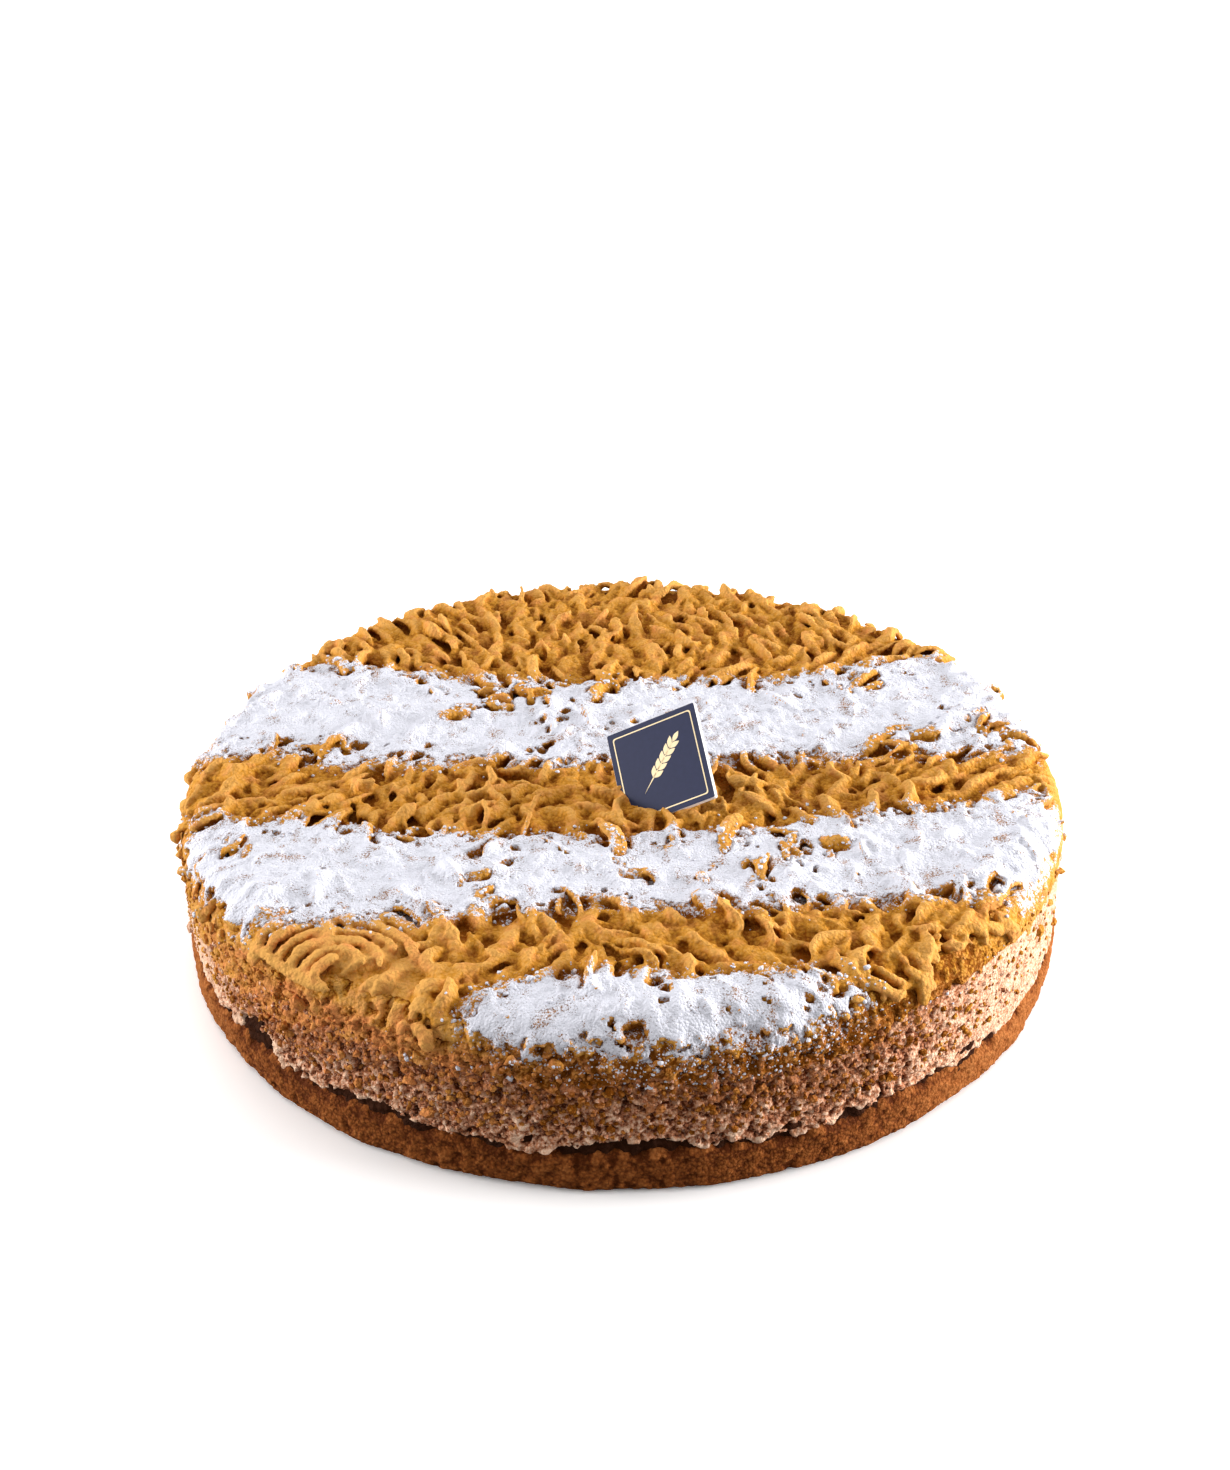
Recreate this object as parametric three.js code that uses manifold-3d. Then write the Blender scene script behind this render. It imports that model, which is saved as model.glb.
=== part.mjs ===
// Karakum cake, round and 26 cm across: a shortcrust base, a thin layer of dark jam, a thick layer of baked
// meringue, and a lid of minced shortcrust dough whose strands stand up all over the top. Three bands of
// icing sugar cross the lid, and a blank square plaque is pushed into it by one corner.
// Millimetres, +Z up, origin at the centre of the underside, the front of the cake towards -Y.

import * as THREE from "three";
import { mergeVertices } from "three/addons/utils/BufferGeometryUtils.js";
import { ImprovedNoise } from "three/addons/math/ImprovedNoise.js";
import Module from "manifold-3d";

// Driving dimensions

const CAKE_RADIUS = 130;
const CONTACT_GAP = 0.3; // left between pieces that touch

const BASE_TOP = 11;
const JAM_TOP = 14;
const MERINGUE_TOP = 31;
const LID_TOP = 48.5; // level of the fused dough between its strands
const LID_SHOULDER = 9; // rounding of the lid's upper edge
const LID_SIDE_TOP = LID_TOP - LID_SHOULDER;
const LID_RADIUS = CAKE_RADIUS - 0.8;

const RIM = 16; // width of the outer ring in which the layers rise and fall
const LAYER_WAVES = [
  // how far the layer lines rise and fall, how often round the cake, and where each wave starts
  { height: 0.45, turns: 3, start: 0.6 },
  { height: 0.27, turns: 5, start: 2.1 },
  { height: 0.18, turns: 8, start: 4.4 },
];

const STRAND_RADIUS = 2.9;
const STRAND_FLATNESS = 0.9; // height of a strand's section over its width
const STRAND_LENGTH = [15, 30]; // shortest and longest
const STRAND_SITES = 238; // sites tried over the whole top, those under sugar stay empty
const STRAND_SIDES = 5;
const STRAND_STEPS = 3;
const STRAND_REACH = LID_RADIUS + 0.5; // furthest a strand goes from the axis, measured along the surface
const STRAND_DRIFT = 55; // strands this far apart lie in different directions
const STRAND_SUNK = 0.6; // how deep a strand's ends are sunk
const STRAND_ARCH = 1.6; // how far its middle rises above its ends

// Strands that lie round one another at the front left: their centre, radii and the angles they span.
const SWIRL = { x: -66, y: -108, radii: [8, 15, 22, 29], from: 5, to: 190, reach: 33 };

const SUGAR_THICKNESS = 1.1;
const SUGAR_BUMP = 1.3; // strands under the sugar lift it by up to this much
const SUGAR_RAGGED = 4; // how far a band's edge strays from its line
const SUGAR_RAGGED_GRAIN = 22; // length of one stray

// A band runs across the top between two values of x. With s = x / CAKE_RADIUS, its middle line lies at
// y = centre + bow s^2 + tilt s and its half width is half + flare s^2. A closed band narrows to nothing at
// its ends. low is the height at which it ends on the shoulder.
const SUGAR_BANDS = {
  sugar_band_back: { from: -132, to: 132, centre: 23, bow: 15, half: 24.5, flare: 6, low: 44 },
  sugar_band_middle: { from: -132, to: 132, centre: -60, bow: 11, tilt: 5, half: 18, flare: 6, low: 43 },
  sugar_band_front: { from: -42, to: 72, centre: -125, half: 18, low: 41, closed: true },
};

const PLAQUE_SIDE = 29;
const PLAQUE_THICKNESS = 1.6;
const PLAQUE_FOOT = [1.7, -29, 44]; // the corner that is pushed into the lid
const PLAQUE_LEAN = 38; // degrees, top edge backwards
const PLAQUE_TURN = -37.6; // degrees about the vertical
const PLAQUE_ROLL = -7.2; // degrees in its own plane

const SHORTCRUST_COLOUR = 0xb0702c;
const JAM_COLOUR = 0x3a1c14;
const MERINGUE_COLOUR = 0xd2a583;
const DOUGH_COLOUR = 0xc48a35;
const SUGAR_COLOUR = 0xf1f1f4;
const PLAQUE_COLOUR = 0x3a3f5c;

// Helpers

const wasm = await Module();
wasm.setup();
const perlin = new ImprovedNoise();

// Smooth repeatable unevenness from about -1 to 1, with bumps about one grain across.
function uneven(x, y, z, grain) {
  return 1.4 * perlin.noise(x / grain + 31.7, y / grain + 17.3, z / grain + 5.9);
}

// A repeatable number from 0 to 1 for the given count and use.
function draw(count, use) {
  const wave = Math.sin(count * 127.1 + use * 311.7) * 43758.5453;
  return wave - Math.floor(wave);
}

// The geometry with one vertex at each place.
function welded(geometry) {
  const bare = geometry.clone();
  bare.deleteAttribute("normal");
  bare.deleteAttribute("uv");
  return mergeVertices(bare, 1e-3);
}

// Moves every vertex of a welded geometry to what the rule makes of it.
function reshaped(geometry, rule) {
  const places = geometry.getAttribute("position");
  const place = new THREE.Vector3();
  for (let i = 0; i < places.count; i++) {
    rule(place.fromBufferAttribute(places, i));
    places.setXYZ(i, place.x, place.y, place.z);
  }
  return geometry;
}

function solidOf(geometry) {
  const closed = welded(geometry);
  return new wasm.Manifold(
    new wasm.Mesh({
      numProp: 3,
      vertProperties: closed.getAttribute("position").array,
      triVerts: new Uint32Array(closed.index.array),
    }),
  );
}

function geometryOf(solid) {
  const mesh = solid.getMesh();
  const geometry = new THREE.BufferGeometry();
  geometry.setAttribute("position", new THREE.BufferAttribute(mesh.vertProperties, 3));
  geometry.setIndex(new THREE.BufferAttribute(mesh.triVerts, 1));
  geometry.computeVertexNormals();
  return geometry;
}

// The outer body of a joined solid, without sealed hollows or loose scraps.
function mainBody(solid) {
  return solid.decompose().reduce((largest, body) => (body.volume() > largest.volume() ? body : largest));
}

// Turns a profile of [radius, height] pairs about the vertical axis.
function turned(profile, segments) {
  const points = profile.map(([radius, height]) => new THREE.Vector2(radius, height));
  return welded(new THREE.LatheGeometry(points, segments).rotateX(Math.PI / 2));
}

// The rise and fall of the layer lines, none at the underside or on the lid's top.
function layerLift(x, y, z) {
  const radius = Math.hypot(x, y);
  const angle = Math.atan2(y, x);
  const across = THREE.MathUtils.clamp((radius - CAKE_RADIUS + RIM) / RIM, 0, 1);
  const below = THREE.MathUtils.clamp(z / BASE_TOP, 0, 1);
  const above = THREE.MathUtils.clamp((LID_SIDE_TOP - z) / (LID_SIDE_TOP - MERINGUE_TOP), 0, 1);
  const waves = LAYER_WAVES.map(({ height, turns, start }) => height * Math.sin(turns * angle + start));
  return waves.reduce((sum, wave) => sum + wave) * across * below * above;
}

// How deep a crag is at a place, from nothing to the given depth.
function cragDepth({ x, y, z }, depth, grain) {
  return depth * THREE.MathUtils.clamp(0.5 + 0.5 * uneven(x, y, z, grain), 0, 1);
}

// Moves a place towards the axis.
function pushIn(place, depth) {
  const share = 1 - depth / Math.hypot(place.x, place.y);
  place.x *= share;
  place.y *= share;
}

// Layers

// One disc of the cake between two levels. Its side bulges by edge between its corners, and crags up to
// crag deep, about one grain across, are broken out of it.
function discLayer({ lower, upper, radius, edge, crag, grain, segments, rows }) {
  const profile = [
    [0, lower],
    [radius - RIM, lower],
  ];
  for (let row = 0; row <= rows; row++) {
    const climb = row / rows;
    profile.push([radius - edge * (2 * climb - 1) ** 4, lower + (upper - lower) * climb]);
  }
  profile.push([radius - RIM, upper], [0, upper]);
  return reshaped(turned(profile, segments), (place) => {
    const lift = layerLift(place.x, place.y, place.z);
    const onSide = Math.hypot(place.x, place.y) > radius - edge - 1;
    if (onSide) pushIn(place, cragDepth(place, crag, grain));
    place.z += lift;
  });
}

function shortcrustBase() {
  return discLayer({
    lower: 0,
    upper: BASE_TOP,
    radius: CAKE_RADIUS,
    edge: 2,
    crag: 0.9,
    grain: 9,
    segments: 72,
    rows: 3,
  });
}

function jamLayer() {
  return discLayer({
    lower: BASE_TOP + CONTACT_GAP,
    upper: JAM_TOP,
    radius: CAKE_RADIUS - 1.2,
    edge: 0.8,
    crag: 3,
    grain: 15,
    segments: 64,
    rows: 1,
  });
}

function meringueLayer() {
  return discLayer({
    lower: JAM_TOP + CONTACT_GAP,
    upper: MERINGUE_TOP,
    radius: CAKE_RADIUS - 0.6,
    edge: 1.2,
    crag: 2.4,
    grain: 8,
    segments: 88,
    rows: 3,
  });
}

// Lid of minced dough

// Profile of the fused lid, grown outwards by the given amount.
function lidProfile(grow, topRings) {
  const shoulderSteps = 4;
  const sideRows = 3;
  const lower = MERINGUE_TOP + CONTACT_GAP;
  const flat = LID_RADIUS - LID_SHOULDER;
  const profile = [
    [0, lower],
    [CAKE_RADIUS - RIM, lower],
  ];
  for (let row = 0; row < sideRows; row++) {
    profile.push([LID_RADIUS + grow, lower + ((LID_SIDE_TOP - lower) * row) / sideRows]);
  }
  for (let step = 0; step <= shoulderSteps; step++) {
    const turn = ((Math.PI / 2) * step) / shoulderSteps;
    const reach = LID_SHOULDER + grow;
    profile.push([flat + reach * Math.cos(turn), LID_SIDE_TOP + reach * Math.sin(turn)]);
  }
  for (let ring = 1; ring <= topRings; ring++) {
    profile.push([flat * (1 - ring / topRings), LID_TOP + grow]);
  }
  return profile;
}

// The place on the lid that is at (x, y) when its surface is rolled out flat, raised by the given amount.
function onLid(x, y, raise) {
  const reach = Math.hypot(x, y);
  const flat = LID_RADIUS - LID_SHOULDER;
  const bent = Math.max(reach - flat, 0) / LID_SHOULDER;
  const out = Math.min(reach, flat) + (LID_SHOULDER + raise) * Math.sin(bent);
  const height = LID_SIDE_TOP + (LID_SHOULDER + raise) * Math.cos(bent);
  return new THREE.Vector3((x * out) / reach, (y * out) / reach, height);
}

function fusedLid() {
  const crag = 1.6;
  const grain = 7;
  const segments = 88;
  const geometry = reshaped(turned(lidProfile(0, 1), segments), (place) => {
    const lift = layerLift(place.x, place.y, place.z);
    const onSide = Math.hypot(place.x, place.y) > LID_RADIUS - 1 && place.z < LID_SIDE_TOP + 1;
    if (onSide) pushIn(place, cragDepth(place, crag, grain));
    place.z += lift;
  });
  return solidOf(geometry);
}

// A strand of minced dough along the given points of the top, half sunk in the fused dough.
function strand(points, radius, steps) {
  const section = new THREE.Shape();
  for (let side = 0; side < STRAND_SIDES; side++) {
    const turn = (2 * Math.PI * side) / STRAND_SIDES;
    const corner = [radius * Math.cos(turn), STRAND_FLATNESS * radius * Math.sin(turn)];
    if (side === 0) section.moveTo(...corner);
    else section.lineTo(...corner);
  }
  section.closePath();
  const path = new THREE.CatmullRomCurve3(points);
  return solidOf(new THREE.ExtrudeGeometry(section, { steps, extrudePath: path, bevelEnabled: false }));
}

// The points of a strand whose middle rises above its ends.
function archedOver(places) {
  return places.map(({ x, y }, i) => {
    const along = i / (places.length - 1);
    return onLid(x, y, STRAND_ARCH * Math.sin(Math.PI * along) - STRAND_SUNK);
  });
}

// Where a strand may lie: on the top, clear of the sugar and, unless it is part of it, of the swirl.
function isBare(x, y, inSwirl) {
  const clear = STRAND_RADIUS + 1;
  const offTop = Math.hypot(x, y) > STRAND_REACH;
  const inSugar = Object.values(SUGAR_BANDS).some((band) => {
    const [near, far] = bandEdges(band, x);
    return x > band.from - clear && x < band.to + clear && y > near - clear && y < far + clear;
  });
  const onSwirl = !inSwirl && Math.hypot(x - SWIRL.x, y - SWIRL.y) < SWIRL.reach;
  return !offTop && !inSugar && !onSwirl;
}

// The longest unbroken run of places where a strand may lie.
function longestBareRun(places, inSwirl) {
  let best = [];
  let run = [];
  for (const place of places) {
    run = isBare(place.x, place.y, inSwirl) ? [...run, place] : [];
    if (run.length > best.length) best = run;
  }
  return best;
}

// Places along a bent strand through a site on the top. Neighbours lie nearly side by side, as minced.
function strandPlaces(site) {
  const goldenAngle = Math.PI * (3 - Math.sqrt(5));
  const pointsAlong = 9;
  const reach = STRAND_REACH * Math.sqrt((site + 0.5) / STRAND_SITES);
  const x = reach * Math.cos(site * goldenAngle);
  const y = reach * Math.sin(site * goldenAngle);
  const length = THREE.MathUtils.lerp(...STRAND_LENGTH, draw(site, 1));
  const heading = (Math.PI / 2) * (1 + 1.1 * uneven(x, y, 0, STRAND_DRIFT)) + 0.9 * (draw(site, 2) - 0.5);
  const bend = 1.8 * (draw(site, 3) - 0.5);
  const places = [];
  for (let i = 0; i < pointsAlong; i++) {
    const along = i / (pointsAlong - 1) - 0.5;
    const turn = heading + bend * along;
    places.push({ x: x + length * along * Math.cos(turn), y: y + length * along * Math.sin(turn) });
  }
  return places;
}

// Strands at sites spread evenly over the top, each cut back to where the top is bare.
function scatteredStrands() {
  const fewestPlaces = 4;
  const strands = [];
  for (let site = 0; site < STRAND_SITES; site++) {
    const run = longestBareRun(strandPlaces(site), false);
    if (run.length < fewestPlaces) continue;
    const kept = [run[0], run[Math.floor(run.length / 2)], run[run.length - 1]];
    const radius = STRAND_RADIUS * THREE.MathUtils.lerp(0.85, 1.15, draw(site, 4));
    strands.push(strand(archedOver(kept), radius, STRAND_STEPS));
  }
  return strands;
}

// The swirl at the front left, where strands lie round one another in arcs.
function swirlStrands() {
  const pointsAlong = 25;
  const strands = [];
  for (const radius of SWIRL.radii) {
    const places = [];
    for (let i = 0; i < pointsAlong; i++) {
      const degrees = THREE.MathUtils.lerp(SWIRL.from, SWIRL.to, i / (pointsAlong - 1));
      const turn = THREE.MathUtils.degToRad(degrees);
      places.push({ x: SWIRL.x + radius * Math.cos(turn), y: SWIRL.y + radius * Math.sin(turn) });
    }
    const run = longestBareRun(places, true);
    if (run.length < pointsAlong / 4) continue;
    const kept = [0, 0.25, 0.5, 0.75, 1].map((share) => run[Math.round(share * (run.length - 1))]);
    strands.push(strand(archedOver(kept), STRAND_RADIUS, 2 * STRAND_STEPS));
  }
  return strands;
}

function doughLid() {
  let lid = fusedLid();
  for (const piece of [...scatteredStrands(), ...swirlStrands()]) lid = lid.add(piece);
  const slot = plaqueGeometry(PLAQUE_SIDE + 2 * CONTACT_GAP, PLAQUE_THICKNESS + 2 * CONTACT_GAP);
  slot.translate(0, 0, -CONTACT_GAP * Math.SQRT2);
  lid = lid.subtract(solidOf(slot.applyMatrix4(plaqueMatrix())));
  return geometryOf(mainBody(lid));
}

// Icing sugar

// The near and far edge of a sugar band at a place along it.
function bandEdges(band, x) {
  const { from, to, centre, bow = 0, tilt = 0, half, flare = 0, closed = false } = band;
  const share = x / CAKE_RADIUS;
  const middle = centre + bow * share ** 2 + tilt * share;
  const along = (2 * (x - from)) / (to - from) - 1;
  const closing = closed ? Math.max(0, 1 - along ** 6) : 1;
  const width = (half + flare * share ** 2) * closing;
  const ragged = SUGAR_RAGGED * closing;
  return [
    middle - width + ragged * uneven(x, centre, 0, SUGAR_RAGGED_GRAIN),
    middle + width + ragged * uneven(x, centre, 40, SUGAR_RAGGED_GRAIN),
  ];
}

function bandOutline(band) {
  const steps = 26;
  const near = [];
  const far = [];
  for (let step = 0; step <= steps; step++) {
    const x = THREE.MathUtils.lerp(band.from, band.to, step / steps);
    const [nearEdge, farEdge] = bandEdges(band, x);
    near.push(new THREE.Vector2(x, nearEdge));
    far.unshift(new THREE.Vector2(x, farEdge + 0.01));
  }
  return new THREE.Shape([...near, ...far]);
}

// The skin of sugar over the lid, bumpy where strands lie under it, before it is cut into bands.
function sugarSkin() {
  const topRings = 8;
  const segments = 72;
  const bumpGrain = 11;
  const outside = turned(lidProfile(CONTACT_GAP + SUGAR_THICKNESS, topRings), segments);
  const inside = turned(lidProfile(CONTACT_GAP, 1), segments);
  reshaped(outside, (place) => {
    if (place.z > LID_SIDE_TOP) place.z += cragDepth(place, SUGAR_BUMP, bumpGrain);
  });
  return solidOf(outside).subtract(solidOf(inside));
}

function sugarBand(band, skin) {
  const headroom = 30;
  const cutter = new THREE.ExtrudeGeometry(bandOutline(band), { depth: headroom, bevelEnabled: false });
  return geometryOf(mainBody(skin.intersect(solidOf(cutter.translate(0, 0, band.low)))));
}

// Plaque

// A square plate standing on one corner at the origin, its face towards -Y.
function plaqueGeometry(side, thickness) {
  const half = side * Math.SQRT1_2;
  const diamond = new THREE.Shape([
    new THREE.Vector2(0, 0),
    new THREE.Vector2(half, half),
    new THREE.Vector2(0, 2 * half),
    new THREE.Vector2(-half, half),
  ]);
  const plate = new THREE.ExtrudeGeometry(diamond, { depth: thickness, bevelEnabled: false });
  return plate.translate(0, 0, -thickness / 2).rotateX(Math.PI / 2);
}

function placePlaque(object) {
  const [lean, turn, roll] = [PLAQUE_LEAN, PLAQUE_TURN, PLAQUE_ROLL].map(THREE.MathUtils.degToRad);
  object.position.set(...PLAQUE_FOOT);
  object.rotation.set(-lean, -roll, turn, "ZXY");
  object.updateMatrix();
  return object;
}

function plaqueMatrix() {
  return placePlaque(new THREE.Object3D()).matrix;
}

// The cake

const cake = new THREE.Group();

function piece(name, geometry, color, roughness) {
  const material = new THREE.MeshStandardMaterial({ color, roughness, metalness: 0 });
  const mesh = new THREE.Mesh(geometry, material);
  mesh.name = name;
  cake.add(mesh);
  return mesh;
}

piece("shortcrust_base", shortcrustBase(), SHORTCRUST_COLOUR, 0.85);
piece("jam_layer", jamLayer(), JAM_COLOUR, 0.35);
piece("meringue_layer", meringueLayer(), MERINGUE_COLOUR, 0.9);
piece("dough_lid", doughLid(), DOUGH_COLOUR, 0.7);
const skin = sugarSkin();
for (const [name, band] of Object.entries(SUGAR_BANDS)) {
  piece(name, sugarBand(band, skin), SUGAR_COLOUR, 0.95);
}
placePlaque(piece("plaque", plaqueGeometry(PLAQUE_SIDE, PLAQUE_THICKNESS), PLAQUE_COLOUR, 0.45));

export default cake;
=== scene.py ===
# %% [markdown]
# # A karakum cake
# A karakum cake is baked in layers: a shortcrust base, a lick of dark jam, a thick foam of meringue with
# ground nuts, and a second shortcrust dough that is pushed through a mincer, so that it falls on top in
# strands. Icing sugar is sifted over the baked cake in bands. This lesson dresses the plain solids of the
# frame as that cake: the strands are small tubes that melt into one skin, the sugar is a powder that lies on
# them, and the sides are broken up into crumbs.

# %% Load the frame
import math

import bmesh
import bpy
import numpy as np
from mathutils import Matrix, Vector
from mathutils.bvhtree import BVHTree


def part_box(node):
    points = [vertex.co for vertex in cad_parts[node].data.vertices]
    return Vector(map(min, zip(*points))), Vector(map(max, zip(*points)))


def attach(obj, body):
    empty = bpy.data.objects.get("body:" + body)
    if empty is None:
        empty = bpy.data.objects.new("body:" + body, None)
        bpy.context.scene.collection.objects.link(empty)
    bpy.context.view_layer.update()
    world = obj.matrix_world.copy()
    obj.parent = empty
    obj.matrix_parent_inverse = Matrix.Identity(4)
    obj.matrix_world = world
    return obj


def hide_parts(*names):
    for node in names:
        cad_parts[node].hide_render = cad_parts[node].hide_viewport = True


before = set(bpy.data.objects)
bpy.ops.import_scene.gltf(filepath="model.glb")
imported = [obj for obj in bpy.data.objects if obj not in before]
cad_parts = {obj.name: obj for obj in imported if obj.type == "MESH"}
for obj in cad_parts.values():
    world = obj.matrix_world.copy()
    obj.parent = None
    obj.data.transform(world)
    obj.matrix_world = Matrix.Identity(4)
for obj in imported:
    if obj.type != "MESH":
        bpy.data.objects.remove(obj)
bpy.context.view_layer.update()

mm = 0.001
print("frame nodes:", sorted(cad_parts))

# %% [markdown]
# ## Sizes
# The solids already hold the real sizes. The layer lines wave a little, so the height of a line is taken
# half way between the top of the layer below it and the underside of the layer above it. The lid's own level
# lies one strand below its highest point.

# %% Read the sizes of the layers
base_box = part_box("shortcrust_base")
jam_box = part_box("jam_layer")
meringue_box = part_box("meringue_layer")
lid_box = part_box("dough_lid")

cake_radius = base_box[1].y
base_top = (base_box[1].z + jam_box[0].z) / 2
jam_top = (jam_box[1].z + meringue_box[0].z) / 2
meringue_top = (meringue_box[1].z + lid_box[0].z) / 2

strand_rise = 3.5 * mm
lid_radius = (lid_box[1].x - lid_box[0].x) / 2
lid_top = lid_box[1].z - strand_rise
levels = [base_top, jam_top, meringue_top, lid_top]
print("cake radius %.1f mm, levels" % (cake_radius / mm), [round(level / mm, 1) for level in levels])

# %% [markdown]
# ## Unevenness
# Nothing on a baked cake is smooth, so every piece asks for repeatable unevenness. The noise functions of
# mathutils work on one point at a time. These do whole arrays at once: soft lumps, made by blending random
# numbers on a lattice, and rough ground, made of finer and finer lumps.

# %% Lumps for arrays of points
cell_factors = (374761393, 668265263, 1440662683)
seed_factor = 974634341
scramble_factor = 1274126177
low_half = 0xFFFF
lump_sizes = [
    # how much each size of lump counts, and how many times finer it is
    (1.0, 1.0),
    (0.6, 2.1),
    (0.36, 4.3),
]
lump_total = 1.5


def lattice_number(cell, seed):
    """A repeatable number from -1 to 1 for each whole-number cell."""
    whole = cell.astype(np.int64)
    number = sum(whole[..., axis] * factor for axis, factor in enumerate(cell_factors)) + seed * seed_factor
    number = ((number ^ (number >> 13)) * scramble_factor) & 0xFFFFFFFF
    return ((number ^ (number >> 16)) & low_half) / (low_half / 2) - 1


def uneven(points, grain, seed=0):
    """Soft unevenness from -1 to 1, with lumps about one grain across."""
    scaled = points / grain
    cell = np.floor(scaled)
    share = scaled - cell
    share = share * share * (3 - 2 * share)
    total = np.zeros(points.shape[:-1])
    for corner in np.ndindex(2, 2, 2):
        weight = np.prod(np.where(np.array(corner) == 1, share, 1 - share), axis=-1)
        total += weight * lattice_number(cell + corner, seed)
    return total


def rough(points, grain, seed=0):
    """Rough ground from about -1 to 1: lumps of one grain, with smaller lumps on them."""
    total = np.zeros(points.shape[:-1])
    for step, (weight, finer) in enumerate(lump_sizes):
        total += weight * uneven(points, grain / finer, seed + step)
    return total / lump_total


trial = np.random.default_rng(1).uniform(-0.1, 0.1, (5000, 3))
print("lumps from %.2f to %.2f" % (uneven(trial, 8 * mm).min(), uneven(trial, 8 * mm).max()))

# %% Soft steps and directions
def ramp(value, low, high):
    """0 below low, 1 above high and a soft step between."""
    share = np.clip((value - low) / (high - low), 0, 1)
    return share * share * (3 - 2 * share)


def facing_way(points, degrees, low, high):
    """1 where places of the rim lie in a direction, 0 elsewhere, by the cosine of the angle between."""
    heading = math.radians(degrees)
    along = points[..., 0] * math.cos(heading) + points[..., 1] * math.sin(heading)
    return ramp(along / cake_radius, low, high)


def in_front(points):
    """1 at the front of the cake, left of the middle too, where the side is more broken and its colour takes
    a browner bake and painted shade, 0 further back.
    """
    return facing_way(points, -100, 0.5, 0.86)


def on_right(points):
    """1 on the right flank, near the front, 0 elsewhere."""
    return facing_way(points, -25, 0.72, 0.92)


rim_turn = np.radians(np.arange(360))
rim = np.stack([np.cos(rim_turn), np.sin(rim_turn)], -1) * cake_radius
print("the broken front takes %.0f%% of the rim" % (100 * in_front(rim).mean()))

# %% [markdown]
# ## Mesh helpers
# A mesh made from arrays is quick and repeatable. Each piece then rides on the only body and stands for its
# solid, which is hidden.

# %% Make meshes and read them back
def add_mesh(name, points, faces):
    """A new object with the given points and faces, smooth shaded."""
    mesh = bpy.data.meshes.new(name)
    mesh.from_pydata(np.asarray(points, float).reshape(-1, 3), [], faces)
    mesh.validate()
    mesh.shade_smooth()
    return add_object(name, mesh)


def add_object(name, data):
    """A new object in the scene."""
    piece = bpy.data.objects.new(name, data)
    bpy.context.scene.collection.objects.link(piece)
    return piece


def points_of(mesh):
    """The mesh's points as an array."""
    flat = np.zeros(len(mesh.vertices) * 3, np.float32)
    mesh.vertices.foreach_get("co", flat)
    return flat.reshape(-1, 3).astype(float)


def facings_of(mesh):
    """The direction that the surface faces at each point."""
    flat = np.zeros(len(mesh.vertices) * 3, np.float32)
    mesh.vertex_normals.foreach_get("vector", flat)
    return flat.reshape(-1, 3).astype(float)


def note_values(mesh, name, values):
    """Stores one number at each point, for the material to read."""
    attribute = mesh.attributes.new(name, "FLOAT", "POINT")
    attribute.data.foreach_set("value", values.astype(np.float32))


def tree_of(mesh):
    """A search tree for casting rays at a mesh."""
    return BVHTree.FromPolygons(points_of(mesh).tolist(), [tuple(face.vertices) for face in mesh.polygons])


print("the solid of the plaque has", len(points_of(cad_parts["plaque"].data)), "points")

# %% Hand a piece to the frame
def hand_over(piece, slot, *nodes):
    """The piece rides on the cake and stands for the nodes, whose solids are hidden. The slot is not used."""
    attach(piece, "root")
    if nodes:
        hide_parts(*nodes)
    piece.data.calc_loop_triangles()
    print(f"{piece.name}: {len(piece.data.loop_triangles)} triangles")


print("pieces will stand for", len(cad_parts), "solids")

# %% [markdown]
# ## The camera
# The camera comes first, so that every later step can be looked at from the right side. It stands half a
# metre in front of the cake and looks down on it by almost thirty degrees, turned and rolled by a hair. The
# long side of the picture sets the angle of view.

# %% Place the camera
camera_place = Vector((0, -500, 341.5)) * mm
camera_pitch = math.radians(29.487)
camera_yaw = math.radians(-0.19)
camera_roll = math.radians(-0.666)

camera_data = bpy.data.cameras.new("camera")
camera_data.sensor_width = 36
camera_data.lens = 48.06
camera = add_object("camera", camera_data)
turn_about_z = Matrix.Rotation(-camera_yaw, 4, "Z")
tip_down = Matrix.Rotation(math.pi / 2 - camera_pitch, 4, "X")
roll_in_view = Matrix.Rotation(camera_roll, 4, "Z")
camera.matrix_world = Matrix.Translation(camera_place) @ turn_about_z @ tip_down @ roll_in_view
bpy.context.scene.camera = camera
print("camera at", [round(value, 4) for value in camera_place])

# %% [markdown]
# ## The lid, rolled out flat
# Strands and sugar lie on the lid's flat top and bend down over its shoulder. It is easier to lay them out on
# a flat sheet and then to wrap that sheet over the cake. One function wraps points of the sheet on to the lid
# and says which way the lid faces there. The other rolls points of the cake out again.

# %% Wrap a flat sheet over the lid
shoulder = 9 * mm
lid_flat = lid_radius - shoulder
side_top = lid_top - shoulder


def on_lid(flat):
    """Where points of the rolled-out lid lie on the cake, and which way the lid faces there."""
    reach = np.maximum(np.linalg.norm(flat, axis=-1), 1e-9)
    bend = np.clip((reach - lid_flat) / shoulder, 0, math.pi / 2)
    below = np.maximum(reach - lid_flat - shoulder * math.pi / 2, 0)
    outward = flat / reach[..., None]
    radius = np.minimum(reach, lid_flat) + shoulder * np.sin(bend)
    height = side_top + shoulder * np.cos(bend) - below
    place = np.concatenate([outward * radius[..., None], height[..., None]], -1)
    facing = np.concatenate([outward * np.sin(bend)[..., None], np.cos(bend)[..., None]], -1)
    return place, facing


def rolled_out(points):
    """Where points near the lid lie on the flat sheet."""
    radius = np.maximum(np.linalg.norm(points[..., :2], axis=-1), 1e-9)
    over = points[..., 2] - side_top
    bend = np.arctan2(np.maximum(radius - lid_flat, 0), np.maximum(over, 1e-9))
    reach = np.minimum(radius, lid_flat) + shoulder * bend + np.maximum(-over, 0)
    return points[..., :2] * (reach / radius)[..., None]


print("the top is flat out to %.1f mm" % (lid_flat / mm))

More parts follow.
